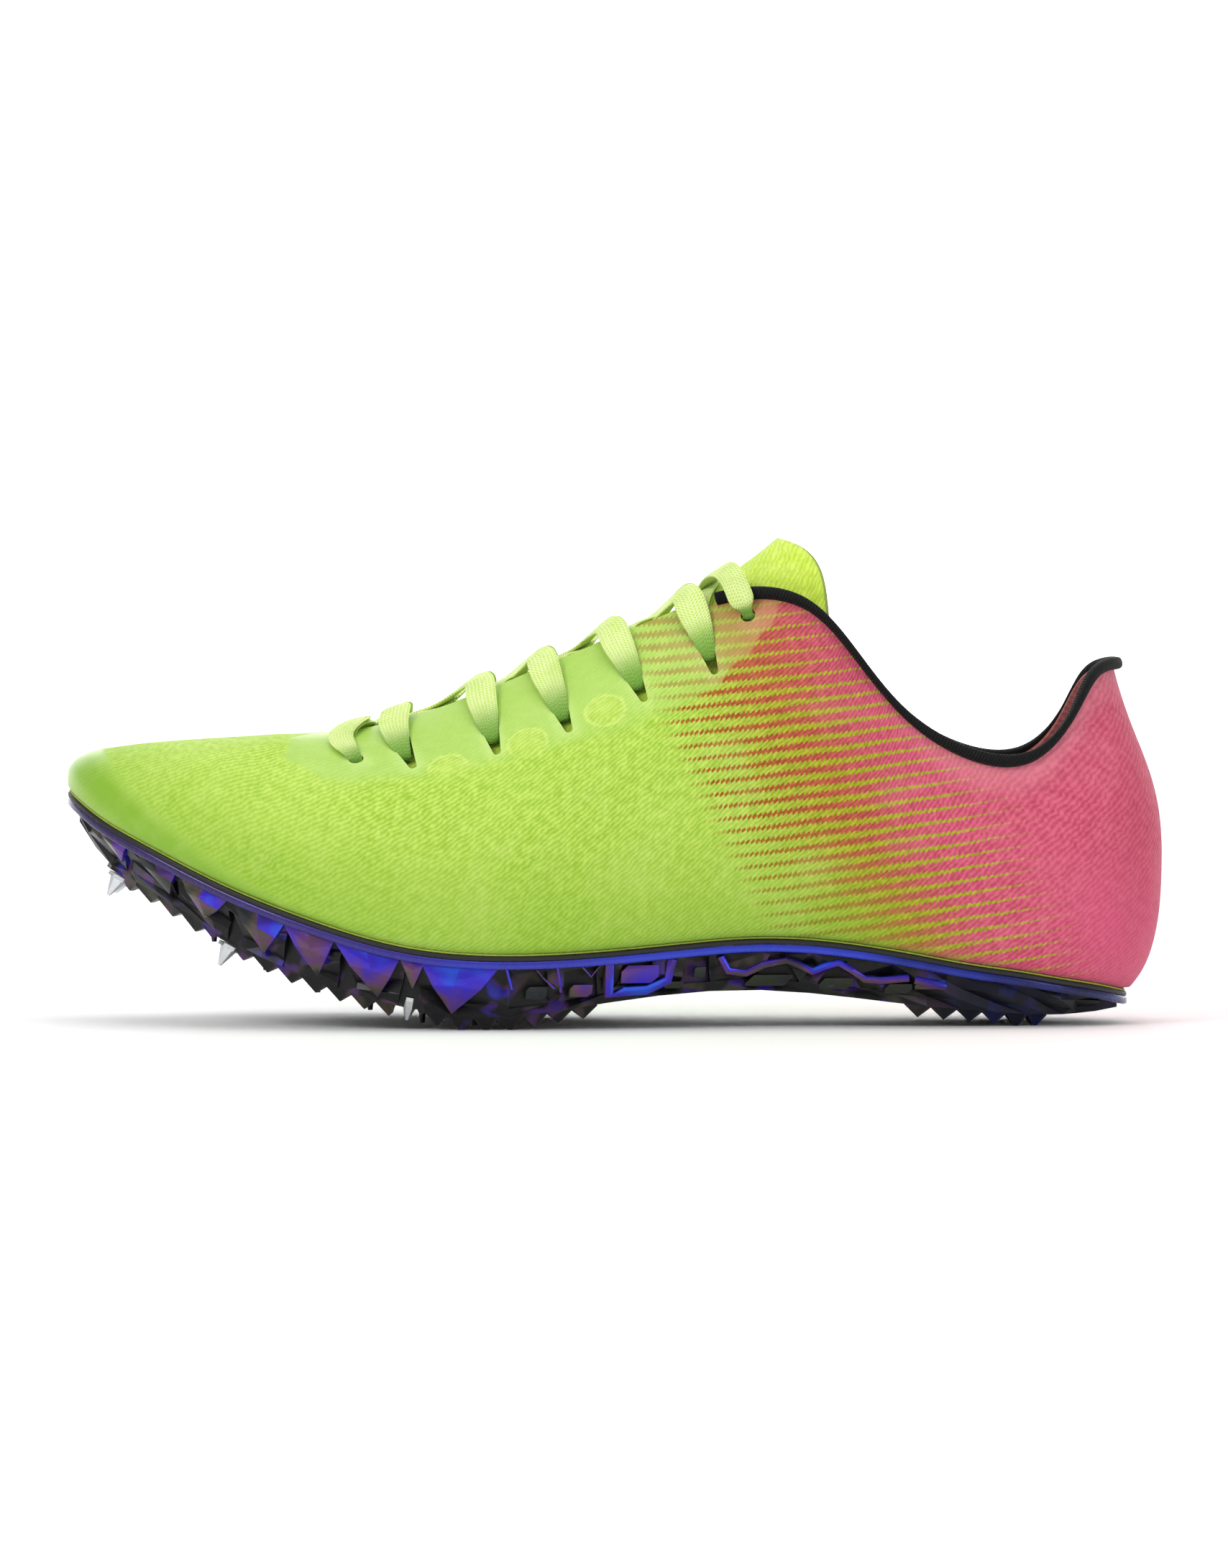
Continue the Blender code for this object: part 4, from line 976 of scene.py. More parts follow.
def tongueCrown(rib):
    # the tongue's middle over the throat's chord; the top crossing lies over the free end
    spots, _, crowns = zip(*tongueRows, (9.2, 0.0, 0.0068))
    return float(np.interp(rib, spots, crowns))


def overThroat(rib, share, side, lift):
    near, far = skinFrame(rib, 0.0, side), skinFrame(rib, 0.0, -side)
    normal = unit(near[3] + far[3])
    return near[0] + (far[0] - near[0]) * share + normal * lift, normal


def lacePath():
    # one lace: from the top eyelet on one side down to the front bar and up to the other top eyelet.
    # Each spot is a point, the way that the lace's face looks, a share of its full width,
    # and how deep it lies, which darkens the lace's colour as painted shade where it dives into a hole.
    wall, gap = last["wall"], last["gap"]
    thick = laceSettings["thickness"]
    slotLong = upperSettings["slotLength"]
    film = upperSettings["filmStep"]
    barLift = gap * 2 + film + thick

    def over(hole):
        lift = gap + film + thick / 2
        if hole[0] > bindingSettings["start"]:
            lift += (bindingSettings["width"] - wall) / 2 + gap * 1.8
        return lift

    def dive(hole, side, face):
        # down over the film from the throat's edge, through the hole and back up under the film
        slot = hole[3]
        long = slotLong if slot else upperSettings["eyeletRadius"] * 2
        end = hole[2] + (slotLong * 0.40 if slot else 0.0)
        spots = []
        rows = ((0.0, 2.8, 1.26, 0.0), (0.30, 2.2, 1.30, 0.0), (0.62, 1.4, 1.14, 0.25))
        if not slot:
            rows = ((0.0, 2.0, 1.05, 0.0), (0.45, 1.5, 1.05, 0.0), (0.78, 1.05, 0.9, 0.2))
        for share, lift, width, deep in rows:
            point, _, _, normal = holeFrame(hole, end * share, side)
            spots.append((point + normal * over(hole) * lift, normal * face, width, deep))
        point, down, _, normal = holeFrame(hole, hole[2] + (long * 0.36 if slot else -0.0012), side)
        wide = 0.88 if slot else 0.6
        spots.append((point + normal * over(hole) * 0.6, unit(normal + down * 0.35) * face, wide, 0.7))
        point, down, _, normal = holeFrame(hole, hole[2] + (long * 0.66 if slot else 0.0003), side)
        spots.append((point - normal * wall * 0.8, unit(down + normal * 0.5) * face, 0.5, 1.0))
        point, down, _, normal = holeFrame(hole, hole[2] + (long * 0.46 if slot else -0.0008), side)
        spots.append((point - normal * (wall + 0.0012), unit(down * 0.2 - normal) * face, 0.6, 1.0))
        point, _, _, normal = holeFrame(hole, hole[2] * 0.55, side)
        spots.append((point - normal * (wall + 0.0008), -normal * face, 0.9, 0.8))
        return spots

    def climb(side):
        # from under the film beside the front eyelet up through the crossings to a top eyelet
        face = -1
        spots = dive(laceHoles[0], side, 1)[3:]
        for number, (start, end) in enumerate(zip(laceHoles, laceHoles[1:])):
            middle = (start[0] + end[0]) / 2
            lift = tongueCrown(middle) + gap * 1.1 + thick / 2
            upper = (number % 2 == 0) == (side < 0)
            lift += thick * 0.85 if upper else -thick * 0.10
            first = barLift - thick * 0.6 if number == 0 else 0.0
            point, normal = overThroat(start[0] + 0.15, 0.15, side, first)
            spots.append((point, normal * face, 1.0, 0.0))
            point, normal = overThroat(middle, 0.5, side, lift)
            spots.append((point, normal * face, 1.0, 0.0))
            side = -side
            spots += dive(end, side, face)
            face = -face
        return spots[:-1]

    bar = dive(laceHoles[0], -1, 1)[:3][::-1]
    point, normal = overThroat(laceHoles[0][0], 0.5, 1, barLift)
    bar.append((point, normal, 1.0, 0.0))
    bar += dive(laceHoles[0], 1, 1)[:3]
    return climb(-1)[::-1] + bar + climb(1)


def ribbonMesh(name, path):
    settings = laceSettings
    points = np.array([spot[0] for spot in path])
    rows = np.array([[*p, *n, wide, deep] for p, n, wide, deep in path])
    lengths = lineSteps(points) + np.arange(len(points)) * 1e-6
    line = spline(lengths, rows)
    count = int(lengths[-1] / settings["step"])
    spots = np.linspace(0, lengths[-1], count)
    here = line(spots)
    ways = unit(line(spots + 0.0003)[:, :3] - line(spots - 0.0003)[:, :3])
    faces = unit(here[:, 3:6])
    wides = unit(np.cross(ways, faces))
    for i in range(1, count):  # a sharp bend keeps the side that the lace came with
        if wides[i] @ wides[i - 1] < 0:
            wides[i] = -wides[i]
    faces = unit(np.cross(wides, ways))
    widths = np.clip(here[:, 6], 0.4, 1.34) * settings["width"] / 2
    turns = np.arange(settings["around"]) * math.tau / settings["around"]
    across = np.sign(np.cos(turns)) * np.abs(np.cos(turns)) ** 0.55
    through = np.sign(np.sin(turns)) * np.abs(np.sin(turns)) ** 0.8
    loops = here[:, None, :3] + wides[:, None] * (widths[:, None] * across)[:, :, None]
    loops = loops + faces[:, None] * (settings["thickness"] / 2 * through)[None, :, None]
    mesh = loftMesh(name, loops)
    u = np.repeat(spots, settings["around"])
    v = np.tile(across * settings["width"] / 2, count)
    uvMap(mesh, np.column_stack([u, v]))
    # how deep the lace lies, for the painted shade where it dives into a hole
    floatField(mesh, "deep", np.repeat(np.clip(here[:, 7], 0, 1), settings["around"]))
    return mesh


def laceCloth():
    made = newMaterial("laceCloth")
    place = coordinates(made)
    u, v, _ = parts(coordinates(made, "UV"))
    height = wave(u + maths("ABSOLUTE", v), 0.0009) * 0.6 + wave(v, 0.00075) * 0.5
    light = ramp(height + noise(place, 240.0, 3.0) * 1.4, -0.6, 1.7)
    colour = mixColour(light, (198, 233, 98), (242, 255, 178))
    worn = useGroup(grime, Vector=place, Scale=140.0, Amount=0.25)["Mask"]
    colour = mixColour(worn, colour, (176, 212, 78))
    # painted shade: the lace darker green where it dives into a hole
    colour = mixColour(ramp(fieldOf(made, "deep"), 0.05, 0.95, 0.0, 0.9), colour, (98, 160, 8))
    return paint(
        made, (height, 0.00018, 0.9), Base_Color=colour, Roughness=mixValue(light, 0.85, 0.68),
        Sheen_Weight=0.12, Sheen_Roughness=0.5,
    )


def makeLace():
    lace = newObject("laceRun", ribbonMesh("laceRun", lacePath()), [laceCloth()])
    shadeSmooth(lace, 60)
    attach(lace, "root")
    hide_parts(*[f"lace_crossing_{k}" for k in range(1, 7)])


# Tongue

tongueSettings = {"thickness": 0.0016, "height": 0.1240, "across": 40, "along": 72, "rounding": 0.12}
# Under the throat: rib, reach under each side, and the middle over the throat's chord
tongueRows = [
    (1.5, 0.012, -0.0026), (2.6, 0.022, -0.0018), (3.6, 0.030, -0.0013), (4.6, 0.034, -0.0010),
    (5.6, 0.035, -0.0009), (6.6, 0.034, -0.0009), (7.5, 0.032, -0.0012), (8.2, 0.0285, -0.0014),
]
# The free end: middle, shoulder, bend and side edge of each row, as shares of the length from the middle
# of the shoe, of ballWidth and of the tongue's height
tongueEnds = [
    ((0.100, 0.000, 0.914), (0.107, 0.070, 0.905), (0.120, 0.125, 0.868), (0.139, 0.152, 0.798)),
    ((0.127, 0.000, 0.960), (0.136, 0.076, 0.950), (0.152, 0.139, 0.907), (0.176, 0.176, 0.800)),
    ((0.149, 0.000, 1.000), (0.169, 0.087, 0.984), (0.190, 0.152, 0.934), (0.199, 0.193, 0.838)),
]


def tongueColumns():
    columns = []
    depth = last["wall"] + last["gap"] * 4
    for rib, reach, crown in tongueRows:
        halves = []
        for side in (-1, 1):
            half = []
            for drop in (reach, reach * 0.66, reach * 0.33, 0.0008):
                point, _, _, normal = skinFrame(rib, drop, side)
                half.append(point - normal * depth)
            halves.append(half)
        lateral, medial = (skinFrame(rib, 0.0, side)[0] for side in (-1, 1))
        columns.append(halves[0] + [(lateral + medial) / 2 + upWay * crown] + halves[1][::-1])
    for end in tongueEnds:
        column = []
        for side, spots in ((-1, end[::-1]), (1, end[1:])):
            for along, across, up in spots:
                beside = across * last["ballWidth"] * side
                column.append(np.array((along * last["length"], beside, up * tongueSettings["height"])))
        columns.append(column)
    return columns


def smoothColumns(columns, across, along):
    finer = []
    for column in columns:
        column = np.array(column)
        lengths = lineSteps(column) + np.arange(len(column)) * 1e-5
        finer.append(spline(lengths, column)(np.linspace(0, lengths[-1], across + 1)))
    finer = np.array(finer)
    steps = lineSteps(finer[:, across // 2])
    grid = spline(steps, finer.reshape(len(finer), -1))(np.linspace(0, steps[-1], along + 1))
    return grid.reshape(along + 1, across + 1, 3)


def tongueCloth():
    made = newMaterial("tongueCloth")
    place = coordinates(made)
    weave = useGroup(twill, Vector=coordinates(made, "UV"), Pitch=0.0014, Break=0.9)
    light = ramp(weave["Tone"] + noise(place, 60.0), 0.5, 1.6)
    worn = useGroup(grime, Vector=place, Scale=90.0, Amount=0.2)["Mask"]
    colour = mixColour(worn, mixColour(light, (186, 222, 44), (220, 244, 92)), (232, 246, 150))
    return paint(
        made, (weave["Height"], 0.00022, 0.9), Base_Color=colour, Roughness=mixValue(light, 0.86, 0.7),
        Sheen_Weight=0.3, Sheen_Roughness=0.5,
    )


def roundedEnd(grid):
    # the grid drawn in at the two corners of its last rows
    rows, across = grid.shape[:2]
    start = 0.76
    s, t = np.meshgrid(np.linspace(0, 1, rows), np.linspace(-1, 1, across), indexing="ij")
    e = np.clip((s - start) / (1 - start), 0, 1)
    pull = tongueSettings["rounding"]
    a = np.where(s > start, start + (1 - start) * e * np.sqrt(1 - pull * t**2), s) * (rows - 1)
    b = (t * np.sqrt(1 - pull * e**2) + 1) / 2 * (across - 1)
    i = np.clip(np.floor(a).astype(int), 0, rows - 2)
    j = np.clip(np.floor(b).astype(int), 0, across - 2)
    a, b = (a - i)[:, :, None], (b - j)[:, :, None]
    low = grid[i, j] * (1 - b) + grid[i, j + 1] * b
    high = grid[i + 1, j] * (1 - b) + grid[i + 1, j + 1] * b
    return low * (1 - a) + high * a


def makeTongue():
    grid = roundedEnd(smoothColumns(tongueColumns(), tongueSettings["across"], tongueSettings["along"]))
    normals = gridNormals(grid, False)
    if np.sum(normals[:, tongueSettings["across"] // 2, 2]) < 0:
        normals = -normals
    mesh = shellMesh("tongueCloth", grid, grid - normals * tongueSettings["thickness"], False)
    turnOutward(mesh)
    rows = grid.shape[1]
    u = np.repeat(np.arange(grid.shape[0]) * 0.0022, rows)
    v = np.tile(np.arange(rows) * 0.0018, grid.shape[0])
    flat = np.column_stack([u, v])
    rim = len(mesh.vertices) - 2 * len(flat)
    uvMap(mesh, np.concatenate([flat, flat, np.zeros((rim, 2))]))
    cloth = tongueCloth()
    tongue = newObject("tongueCloth", mesh, [cloth, cloth])
    shadeSmooth(tongue, 60)
    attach(tongue, "root")
    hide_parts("tongue")


# Collar binding

bindingSettings = {
    "start": 8.25,
    "ramp": 0.25,
    "inset": 0.12,
    "height": 0.0032,
    "width": 0.0034,
    "tuck": 0.0006,  # of the upper's edge into the tape
    "around": 14,
    "perRib": 10,
}


def makeBinding():
    settings = bindingSettings
    first = settings["start"] + settings["ramp"] + settings["inset"]
    begin, finish = float(station(first)), float(station(len(ribs) - first))
    count = int((len(ribs) - 2 * first) * settings["perRib"])
    places = np.linspace(begin, finish, count)
    lines = skinLines(places)
    ahead = np.array([line[-1] for line in skinLines(places + 0.0005)])
    behind = np.array([line[-1] for line in skinLines(places - 0.0005)])
    turns = np.arange(settings["around"]) * math.tau / settings["around"]
    loops = []
    for line, beside in zip(lines, ahead - behind):
        total = lineSteps(line)[-1]
        top, low = alongLine(line, [total, total - settings["height"]])
        up = unit(top - low)
        out = unit(np.cross(up, unit(beside)))
        foot = low - out * last["wall"] / 2
        x = np.sign(np.cos(turns)) * np.abs(np.cos(turns)) ** 0.7 * settings["width"] / 2
        y = (0.5 + 0.5 * np.sign(np.sin(turns)) * np.abs(np.sin(turns)) ** 0.8) * settings["height"]
        loops.append(foot + out * x[:, None] + up * y[:, None])
    mesh = loftMesh("collarBinding", loops)
    middle = np.array([np.mean(loop, axis=0) for loop in loops])
    u = np.repeat(lineSteps(middle), settings["around"])
    uvMap(mesh, np.column_stack([u, np.tile(turns * settings["width"] / 2, len(loops))]))
    binding = newObject("collarBinding", mesh, [bindingCloth()])
    shadeSmooth(binding, 60)
    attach(binding, "root")
    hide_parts("collar_binding")


def bindingCloth():
    made = newMaterial("bindingTape")
    u, v, _ = parts(coordinates(made, "UV"))
    rib = wave(u + v * 0.5, 0.0008)
    grain = noise(coordinates(made), 1400.0)
    light = ramp(rib + grain * 2.0, -0.6, 2.4)
    return paint(
        made, (rib + grain, 0.00012, 0.8), Base_Color=mixColour(light, (5, 6, 5), (20, 21, 22)),
        Roughness=mixValue(light, 0.9, 0.7), Sheen_Weight=0.04, Sheen_Roughness=0.4, IOR=1.3,
    )


# Insole

insoleSettings = {"clear": 0.0014, "thickness": 0.0025, "across": 14, "droop": 0.35, "lift": 2.8}


def acrossSole(share, inset):
    places = np.array([share * knots[heelRib], knots[-1] - share * (knots[-1] - knots[heelRib])])
    return feather(places) - outward(places) * inset


def insoleCloth():
    made = newMaterial("insoleCloth")
    place = coordinates(made)
    weave = useGroup(twill, Vector=place, Pitch=0.0018, Break=0.8)
    worn = useGroup(grime, Vector=place, Scale=35.0, Amount=0.35)["Mask"]
    colour = mixColour(worn, mixColour(weave["Tone"], (40, 42, 44), (74, 78, 80)), (96, 98, 96))
    return paint(made, (weave["Height"], 0.0002, 0.8), Base_Color=colour, Roughness=0.92, Sheen_Weight=0.3)


def makeInsole():
    settings = insoleSettings
    nose = [0.012, 0.02, 0.03, 0.045, 0.06, 0.085]
    t = np.linspace(0, 1, settings["across"])[:, None]
    crown = settings["thickness"] * (1 - settings["droop"] * np.abs(2 * t[:, 0] - 1) ** 8)
    loops = []
    for share in np.concatenate([nose, np.linspace(0.12, 0.88, 40), [0.92, 0.95, 0.97, 0.988]]):
        lateral, medial = acrossSole(share, last["wall"] + settings["clear"])
        flat = lateral + (medial - lateral) * t
        base = soleHeight(flat[:, 0]) + last["wall"] + last["gap"] * settings["lift"]
        low = np.column_stack([flat[:, :2], base])
        high = np.column_stack([flat[:, :2], base + crown])
        loops.append(np.concatenate([low, high[::-1]]))
    insole = newObject("insolePad", loftMesh("insolePad", loops), [insoleCloth()])
    shadeSmooth(insole, 40)
    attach(insole, "root")
    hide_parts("insole")


# Plate

plateSettings = {
    "insetToe": 0.0050,
    "insetHeel": 0.0090,
    "shieldDepth": 0.0016,
}
# Strips along the plate's edge: out from the feather line and down from it, width and height
strips = {
    "plateLip": (0.0001, 0.0023, 0.0014, 0.0021),
    "plateGasket": (0.0001, 0.0007, 0.0012, 0.0014),
    "edgePiping": (0.00005, -0.0003, 0.0005, 0.0005),
}

# Shields under the lip of the forefoot, in mm: left, right and tip along the shoe, share of the plate's
# depth that the tip reaches, how far its ridge stands out, and its place in the colour range
shields = [
    (-132.5, -123.6, -127.5, 0.84, 0.7, -0.02),
    (-122.4, -110.8, -114.6, 0.92, 0.9, 0.10),
    (-110.2, -97.2, -105.2, 0.94, 1.1, 0.04),
    (-96.6, -82.9, -89.7, 0.94, 1.2, 0.14),
    (-83.6, -70.4, -75.7, 0.94, 1.2, 0.06),
    (-70.6, -53.8, -60.1, 0.95, 1.3, 0.16),
    (-53.8, -47.6, -50.8, 0.66, 0.8, -0.12),
    (-48.6, -28.8, -41.0, 0.97, 1.3, 0.14),
]
# Struts and frames of the waist, in mm: spots (along, up) down their middle, width,
# how far they stand out, colour
bars = [
    ([(-27.4, 17.6), (-25.6, 10.4)], 1.0, 0.7, 0.22),
    ([(-14.4, 17.8), (-13.0, 9.6)], 1.1, 0.7, 0.20),
    ([(-1.0, 17.2), (-0.6, 8.6), (3.0, 9.6), (9.0, 9.9), (14.0, 12.4), (14.9, 17.8)], 3.0, 1.3, 0.24),
    ([(-21.0, 17.6), (-17.8, 13.4), (-14.8, 10.6)], 0.9, 0.6, 0.10),
    ([(-9.0, 17.4), (-5.6, 13.6), (-3.0, 16.8)], 0.9, 0.6, 0.02),
    ([(27.0, 18.4), (29.0, 14.6), (33.6, 14.0), (38.0, 16.2), (43.6, 17.2), (47.2, 15.8), (50.2, 14.4),
      (53.6, 15.8), (56.8, 16.6), (60.2, 14.6), (63.4, 12.3), (67.4, 12.0), (74.6, 12.7)], 2.2, 1.2, 0.26),
    ([(76.0, 12.2), (84.0, 10.4)], 2.6, 1.0, 0.04),
]
# Flat facets between them, in mm: left, right, top, bottom, tilt of the facet, colour
panes = [
    (-22.0, -16.6, 11.2, 8.0, 0.5, -0.34),
    (-11.0, -5.0, 11.6, 8.4, -0.4, -0.05),
    (2.1, 11.5, 16.4, 11.8, 0.5, -0.14),
    (13.5, 18.1, 12.1, 10.3, 0.3, -0.42),
    (20.5, 23.3, 15.8, 13.1, 0.4, -0.40),
    (33.6, 45.4, 13.6, 10.7, -0.5, -0.36),
    (52.0, 60.4, 12.7, 9.8, 0.4, -0.38),
    (68.4, 75.4, 11.2, 8.7, 0.4, -0.33),
    (76.0, 83.8, 12.1, 9.8, -0.4, 0.02),
]


def plateInset(x):
    share = smoothStep((x / last["length"] - 0.18) / 0.28)
    return plateSettings["insetToe"] + (plateSettings["insetHeel"] - plateSettings["insetToe"]) * share


def sidePlace(x, side):
    # the places round the shoe where the feather line passes these distances along it
    x = np.atleast_1d(np.asarray(x, float))
    near = np.full(len(x), 0.0 if side < 0 else knots[-1])
    far = np.full(len(x), float(knots[heelRib]))
    for _ in range(30):
        middle = (near + far) / 2
        short = feather(middle)[:, 0] < x
        near = np.where(short, middle, near)
        far = np.where(short, far, middle)
    return near


def onPlateSide(x, z, side, lift):
    # points on the plate's side at these places along and up, standing out from it by the lift
    x, z = np.broadcast_arrays(np.atleast_1d(np.asarray(x, float)), np.asarray(z, float))
    share = (soleHeight(x) - last["gap"] - z) / depthAlong(x)[:, 0]
    inset = plateInset(x)
    steps = np.stack([-0.0002 + 0 * inset, 0.22 * inset, 0.18 * inset, 0.62 * inset, inset], axis=1)
    into = np.array([np.interp(s, (0, 0.2, 0.54, 0.79, 1.0), row) for s, row in zip(share, steps)])
    places = sidePlace(x, side)
    points = feather(places) - outward(places) * (into - lift)[:, None]
    points[:, 2] = z
    return points


def plateBlack():
    made = newMaterial("plateBlack")
    place = coordinates(made)
    normal = coordinates(made, "Normal")
    # colours partly by facing: a painted iridescent reflection
    colours = useGroup(shimmer, Vector=place, Normal=normal, Shift=-0.10)
    side = ramp(maths("ABSOLUTE", parts(normal)[1]), 0.30, 0.62)
    spots = ramp(noise(place, 150.0, 1.0), 0.50, 0.62)
    heel = ramp(parts(place)[0], 0.070, 0.090)
    tint = side * mixValue(heel, spots * 0.5, 0.8)
    grain = noise(place, 900.0)
    black = mixColour(grain, (4, 4, 6), (13, 13, 17))
    navy = mixColour(heel, colours["Colour"], mixColour(spots, (4, 8, 34), (9, 18, 76)))
    return paint(
        made, (grain, 0.00006, 0.6), Base_Color=mixColour(tint, black, navy), Metallic=tint * 0.3,
        Roughness=mixValue(grain, 0.30, 0.46), Coat_Weight=mixValue(grain, 0.05, 0.16),
        Coat_Roughness=0.15, IOR=1.35,
    )


def plateGloss():
    # the lacquered pieces of the plate; each facet has its own place in the colour range
    made = newMaterial("plateGloss")
    place = coordinates(made)
    # colours partly by facing: a painted iridescent reflection
    colours = useGroup(shimmer, Vector=place, Normal=coordinates(made, "Normal"), Shift=fieldOf(made, "facet"))
    scratch = noise(scaled(place, (0.25, 1, 1.6)), 900.0)
    base = mixColour(ramp(colours["Cloud"], 0.50, 0.30, 0.0, 0.6), colours["Colour"], (14, 12, 40))
    base = mixColour(ramp(parts(place)[0], 0.066, 0.100, 0.0, 0.72), base, (6, 11, 32))
    base = mixColour(ramp(scratch, 0.62, 0.9, 0.0, 0.25), base, (130, 130, 190))
    return paint(
        made, (scratch, 0.00004, 0.5), Base_Color=base, Roughness=mixValue(scratch, 0.16, 0.30),
        Metallic=mixValue(colours["Cloud"], 0.35, 0.75), Coat_Weight=mixValue(scratch, 0.35, 0.15),
        Coat_Roughness=0.06, IOR=1.4,
    )


def lipGloss():
    made = newMaterial("lipGloss")
    place = coordinates(made)
    colour = colourRamp(parts(place)[0] * 3.5 + (noise(place, 40.0) - 0.5) * 0.35, {
        0.0: (46, 42, 62),
        0.10: (56, 42, 96),
        0.30: (54, 46, 146),
        0.52: (48, 62, 196),
        0.72: (42, 60, 190),
        0.82: (22, 36, 128),
        0.90: (14, 22, 80),
        1.0: (9, 13, 46),
    })
    fine = noise(place, 700.0)
    return paint(
        made, Base_Color=colour, Roughness=mixValue(fine, 0.20, 0.36), Metallic=mixValue(fine, 0.25, 0.5),
        Coat_Weight=mixValue(fine, 0.4, 0.2), Coat_Roughness=0.08, IOR=1.4,
    )


def finePlain(name, low, high, rough=(0.42, 0.62)):
    made = newMaterial(name)
    grain = noise(coordinates(made), 1200.0)
    colour = mixColour(grain, low, high)
    return paint(made, (grain, 0.00005, 0.6), Base_Color=colour, Roughness=mixValue(grain, *rough))


def pinSteel():
    made = newMaterial("pinSteel")
    fine = noise(scaled(coordinates(made), (1, 1, 6)), 900.0)
    colour = mixColour(fine, (196, 198, 202), (238, 240, 242))
    return paint(
        made, (fine, 0.00005, 0.4), Base_Color=colour, Roughness=mixValue(fine, 0.14, 0.30), Metallic=1.0
    )


def shieldFaces(side, left, right, tip, reach, ridge):
    # the corners of one shield, front and back, and its faces
    left, right, tip, ridge = (value / 1000 for value in (left, right, tip, ridge))
    middle = (left + right) / 2
    depth = plateSettings["shieldDepth"]

    def at(x, share, lift):
        height = soleHeight([x])[0] - last["gap"] - depthAlong(x)[0, 0] * share
        return onPlateSide(x, height, side, lift)[0]

    high = 0.17
    spots = [(left, high), (right, high), (tip + (right - tip) * 0.62, reach * 0.55)]
    spots += [(tip, reach), (tip + (left - tip) * 0.62, reach * 0.55)]
    front = [at(x, share, 0.0004) for x, share in spots]
    crest = [at(middle, high, ridge * 0.8), at(tip + (middle - tip) * 0.4, reach * 0.5, ridge + 0.0004)]
    rear = [at(x, share, 0.0004 - depth) for x, share in spots]
    faces = [(0, 5, 6, 4), (5, 1, 2, 6), (4, 6, 3), (6, 2, 3)]
    faces += [(7, 8, 9, 10, 11), (0, 5, 1, 8, 7), (1, 2, 9, 8), (2, 3, 10, 9), (3, 4, 11, 10), (4, 0, 7, 11)]
    return front + crest + rear, faces


def barFaces(side, spots, width, lift):
    # a bar with a raised middle line that follows spots on the plate's side
    spots = np.array(spots) / 1000
    width, lift = width / 1000, lift / 1000
    ways = unit(np.gradient(spots, axis=0))
    across = np.column_stack([-ways[:, 1], ways[:, 0]])
    rows = [(-0.5, -0.0006), (-0.36, lift * 0.7), (0.05, lift)]
    rows += [(0.40, lift * 0.55), (0.5, -0.0006), (0.0, -0.0016)]
    verts = []
    for spot, way in zip(spots, across):
        for share, out in rows:
            x, z = spot + way * share * width
            verts.append(onPlateSide(x, z, side, out)[0])
    count, around = len(spots), len(rows)
    faces = [tuple(range(around)), tuple((count - 1) * around + i for i in range(around))[::-1]]
    for k in range(count - 1):
        for i in range(around):
            j = (i + 1) % around
            faces.append((k * around + i, (k + 1) * around + i, (k + 1) * around + j, k * around + j))
    return verts, faces


def paneFaces(side, left, right, top, bottom, tilt):
    left, right, top, bottom, tilt = (value / 1000 for value in (left, right, top, bottom, tilt))
    cut = (right - left) * 0.18
    corners = [(left, top - cut), (left + cut, top), (right, top)]
    corners += [(right, bottom + cut), (right - cut, bottom), (left, bottom)]
    front = []
    for x, z in corners:
        share = (x - left) / (right - left) - 0.5
        front.append(onPlateSide(x, z, side, 0.0004 + tilt * share)[0])
    rear = [onPlateSide(x, z, side, -0.0016)[0] for x, z in corners]
    faces = [tuple(range(6)), tuple(range(6, 12))[::-1]]
    faces += [(i, i + 6, (i + 1) % 6 + 6, (i + 1) % 6) for i in range(6)]
    return front + rear, faces


def makeFacets():
    # the lacquered shields, bars and panes of both sides as one piece
    verts, faces, colours = [], [], []

    def keep(made, shift, spread):
        points, corners = made
        for number, face in enumerate(corners):
            faces.append(tuple(len(verts) + i for i in face))
            colours.append(shift + spread * (((number * 7 + len(verts)) % 11) / 11 - 0.5))
        verts.extend(points)

    for side in (-1, 1):
        for left, right, tip, reach, ridge, shift in shields:
            keep(shieldFaces(side, left, right, tip, reach, ridge), shift, 0.42)
        for spots, width, lift, shift in bars:
            keep(barFaces(side, spots, width, lift), shift, 0.16)
        for left, right, top, bottom, tilt, shift in panes:
            keep(paneFaces(side, left, right, top, bottom, tilt), shift, 0.05)
    mesh = plainMesh("plateFacets", verts, faces)
    floatField(mesh, "facet", colours, "FACE")
    turnOutward(mesh)
    facets = newObject("plateFacets", mesh, [plateGloss()])
    soft = facets.modifiers.new("softEdges", "BEVEL")
    soft.width = 0.00018
    soft.segments = 2
    soft.limit_method = "ANGLE"
    soft.angle_limit = math.radians(12)
    applied(facets)
    shadeSmooth(facets, 30)
    return facets


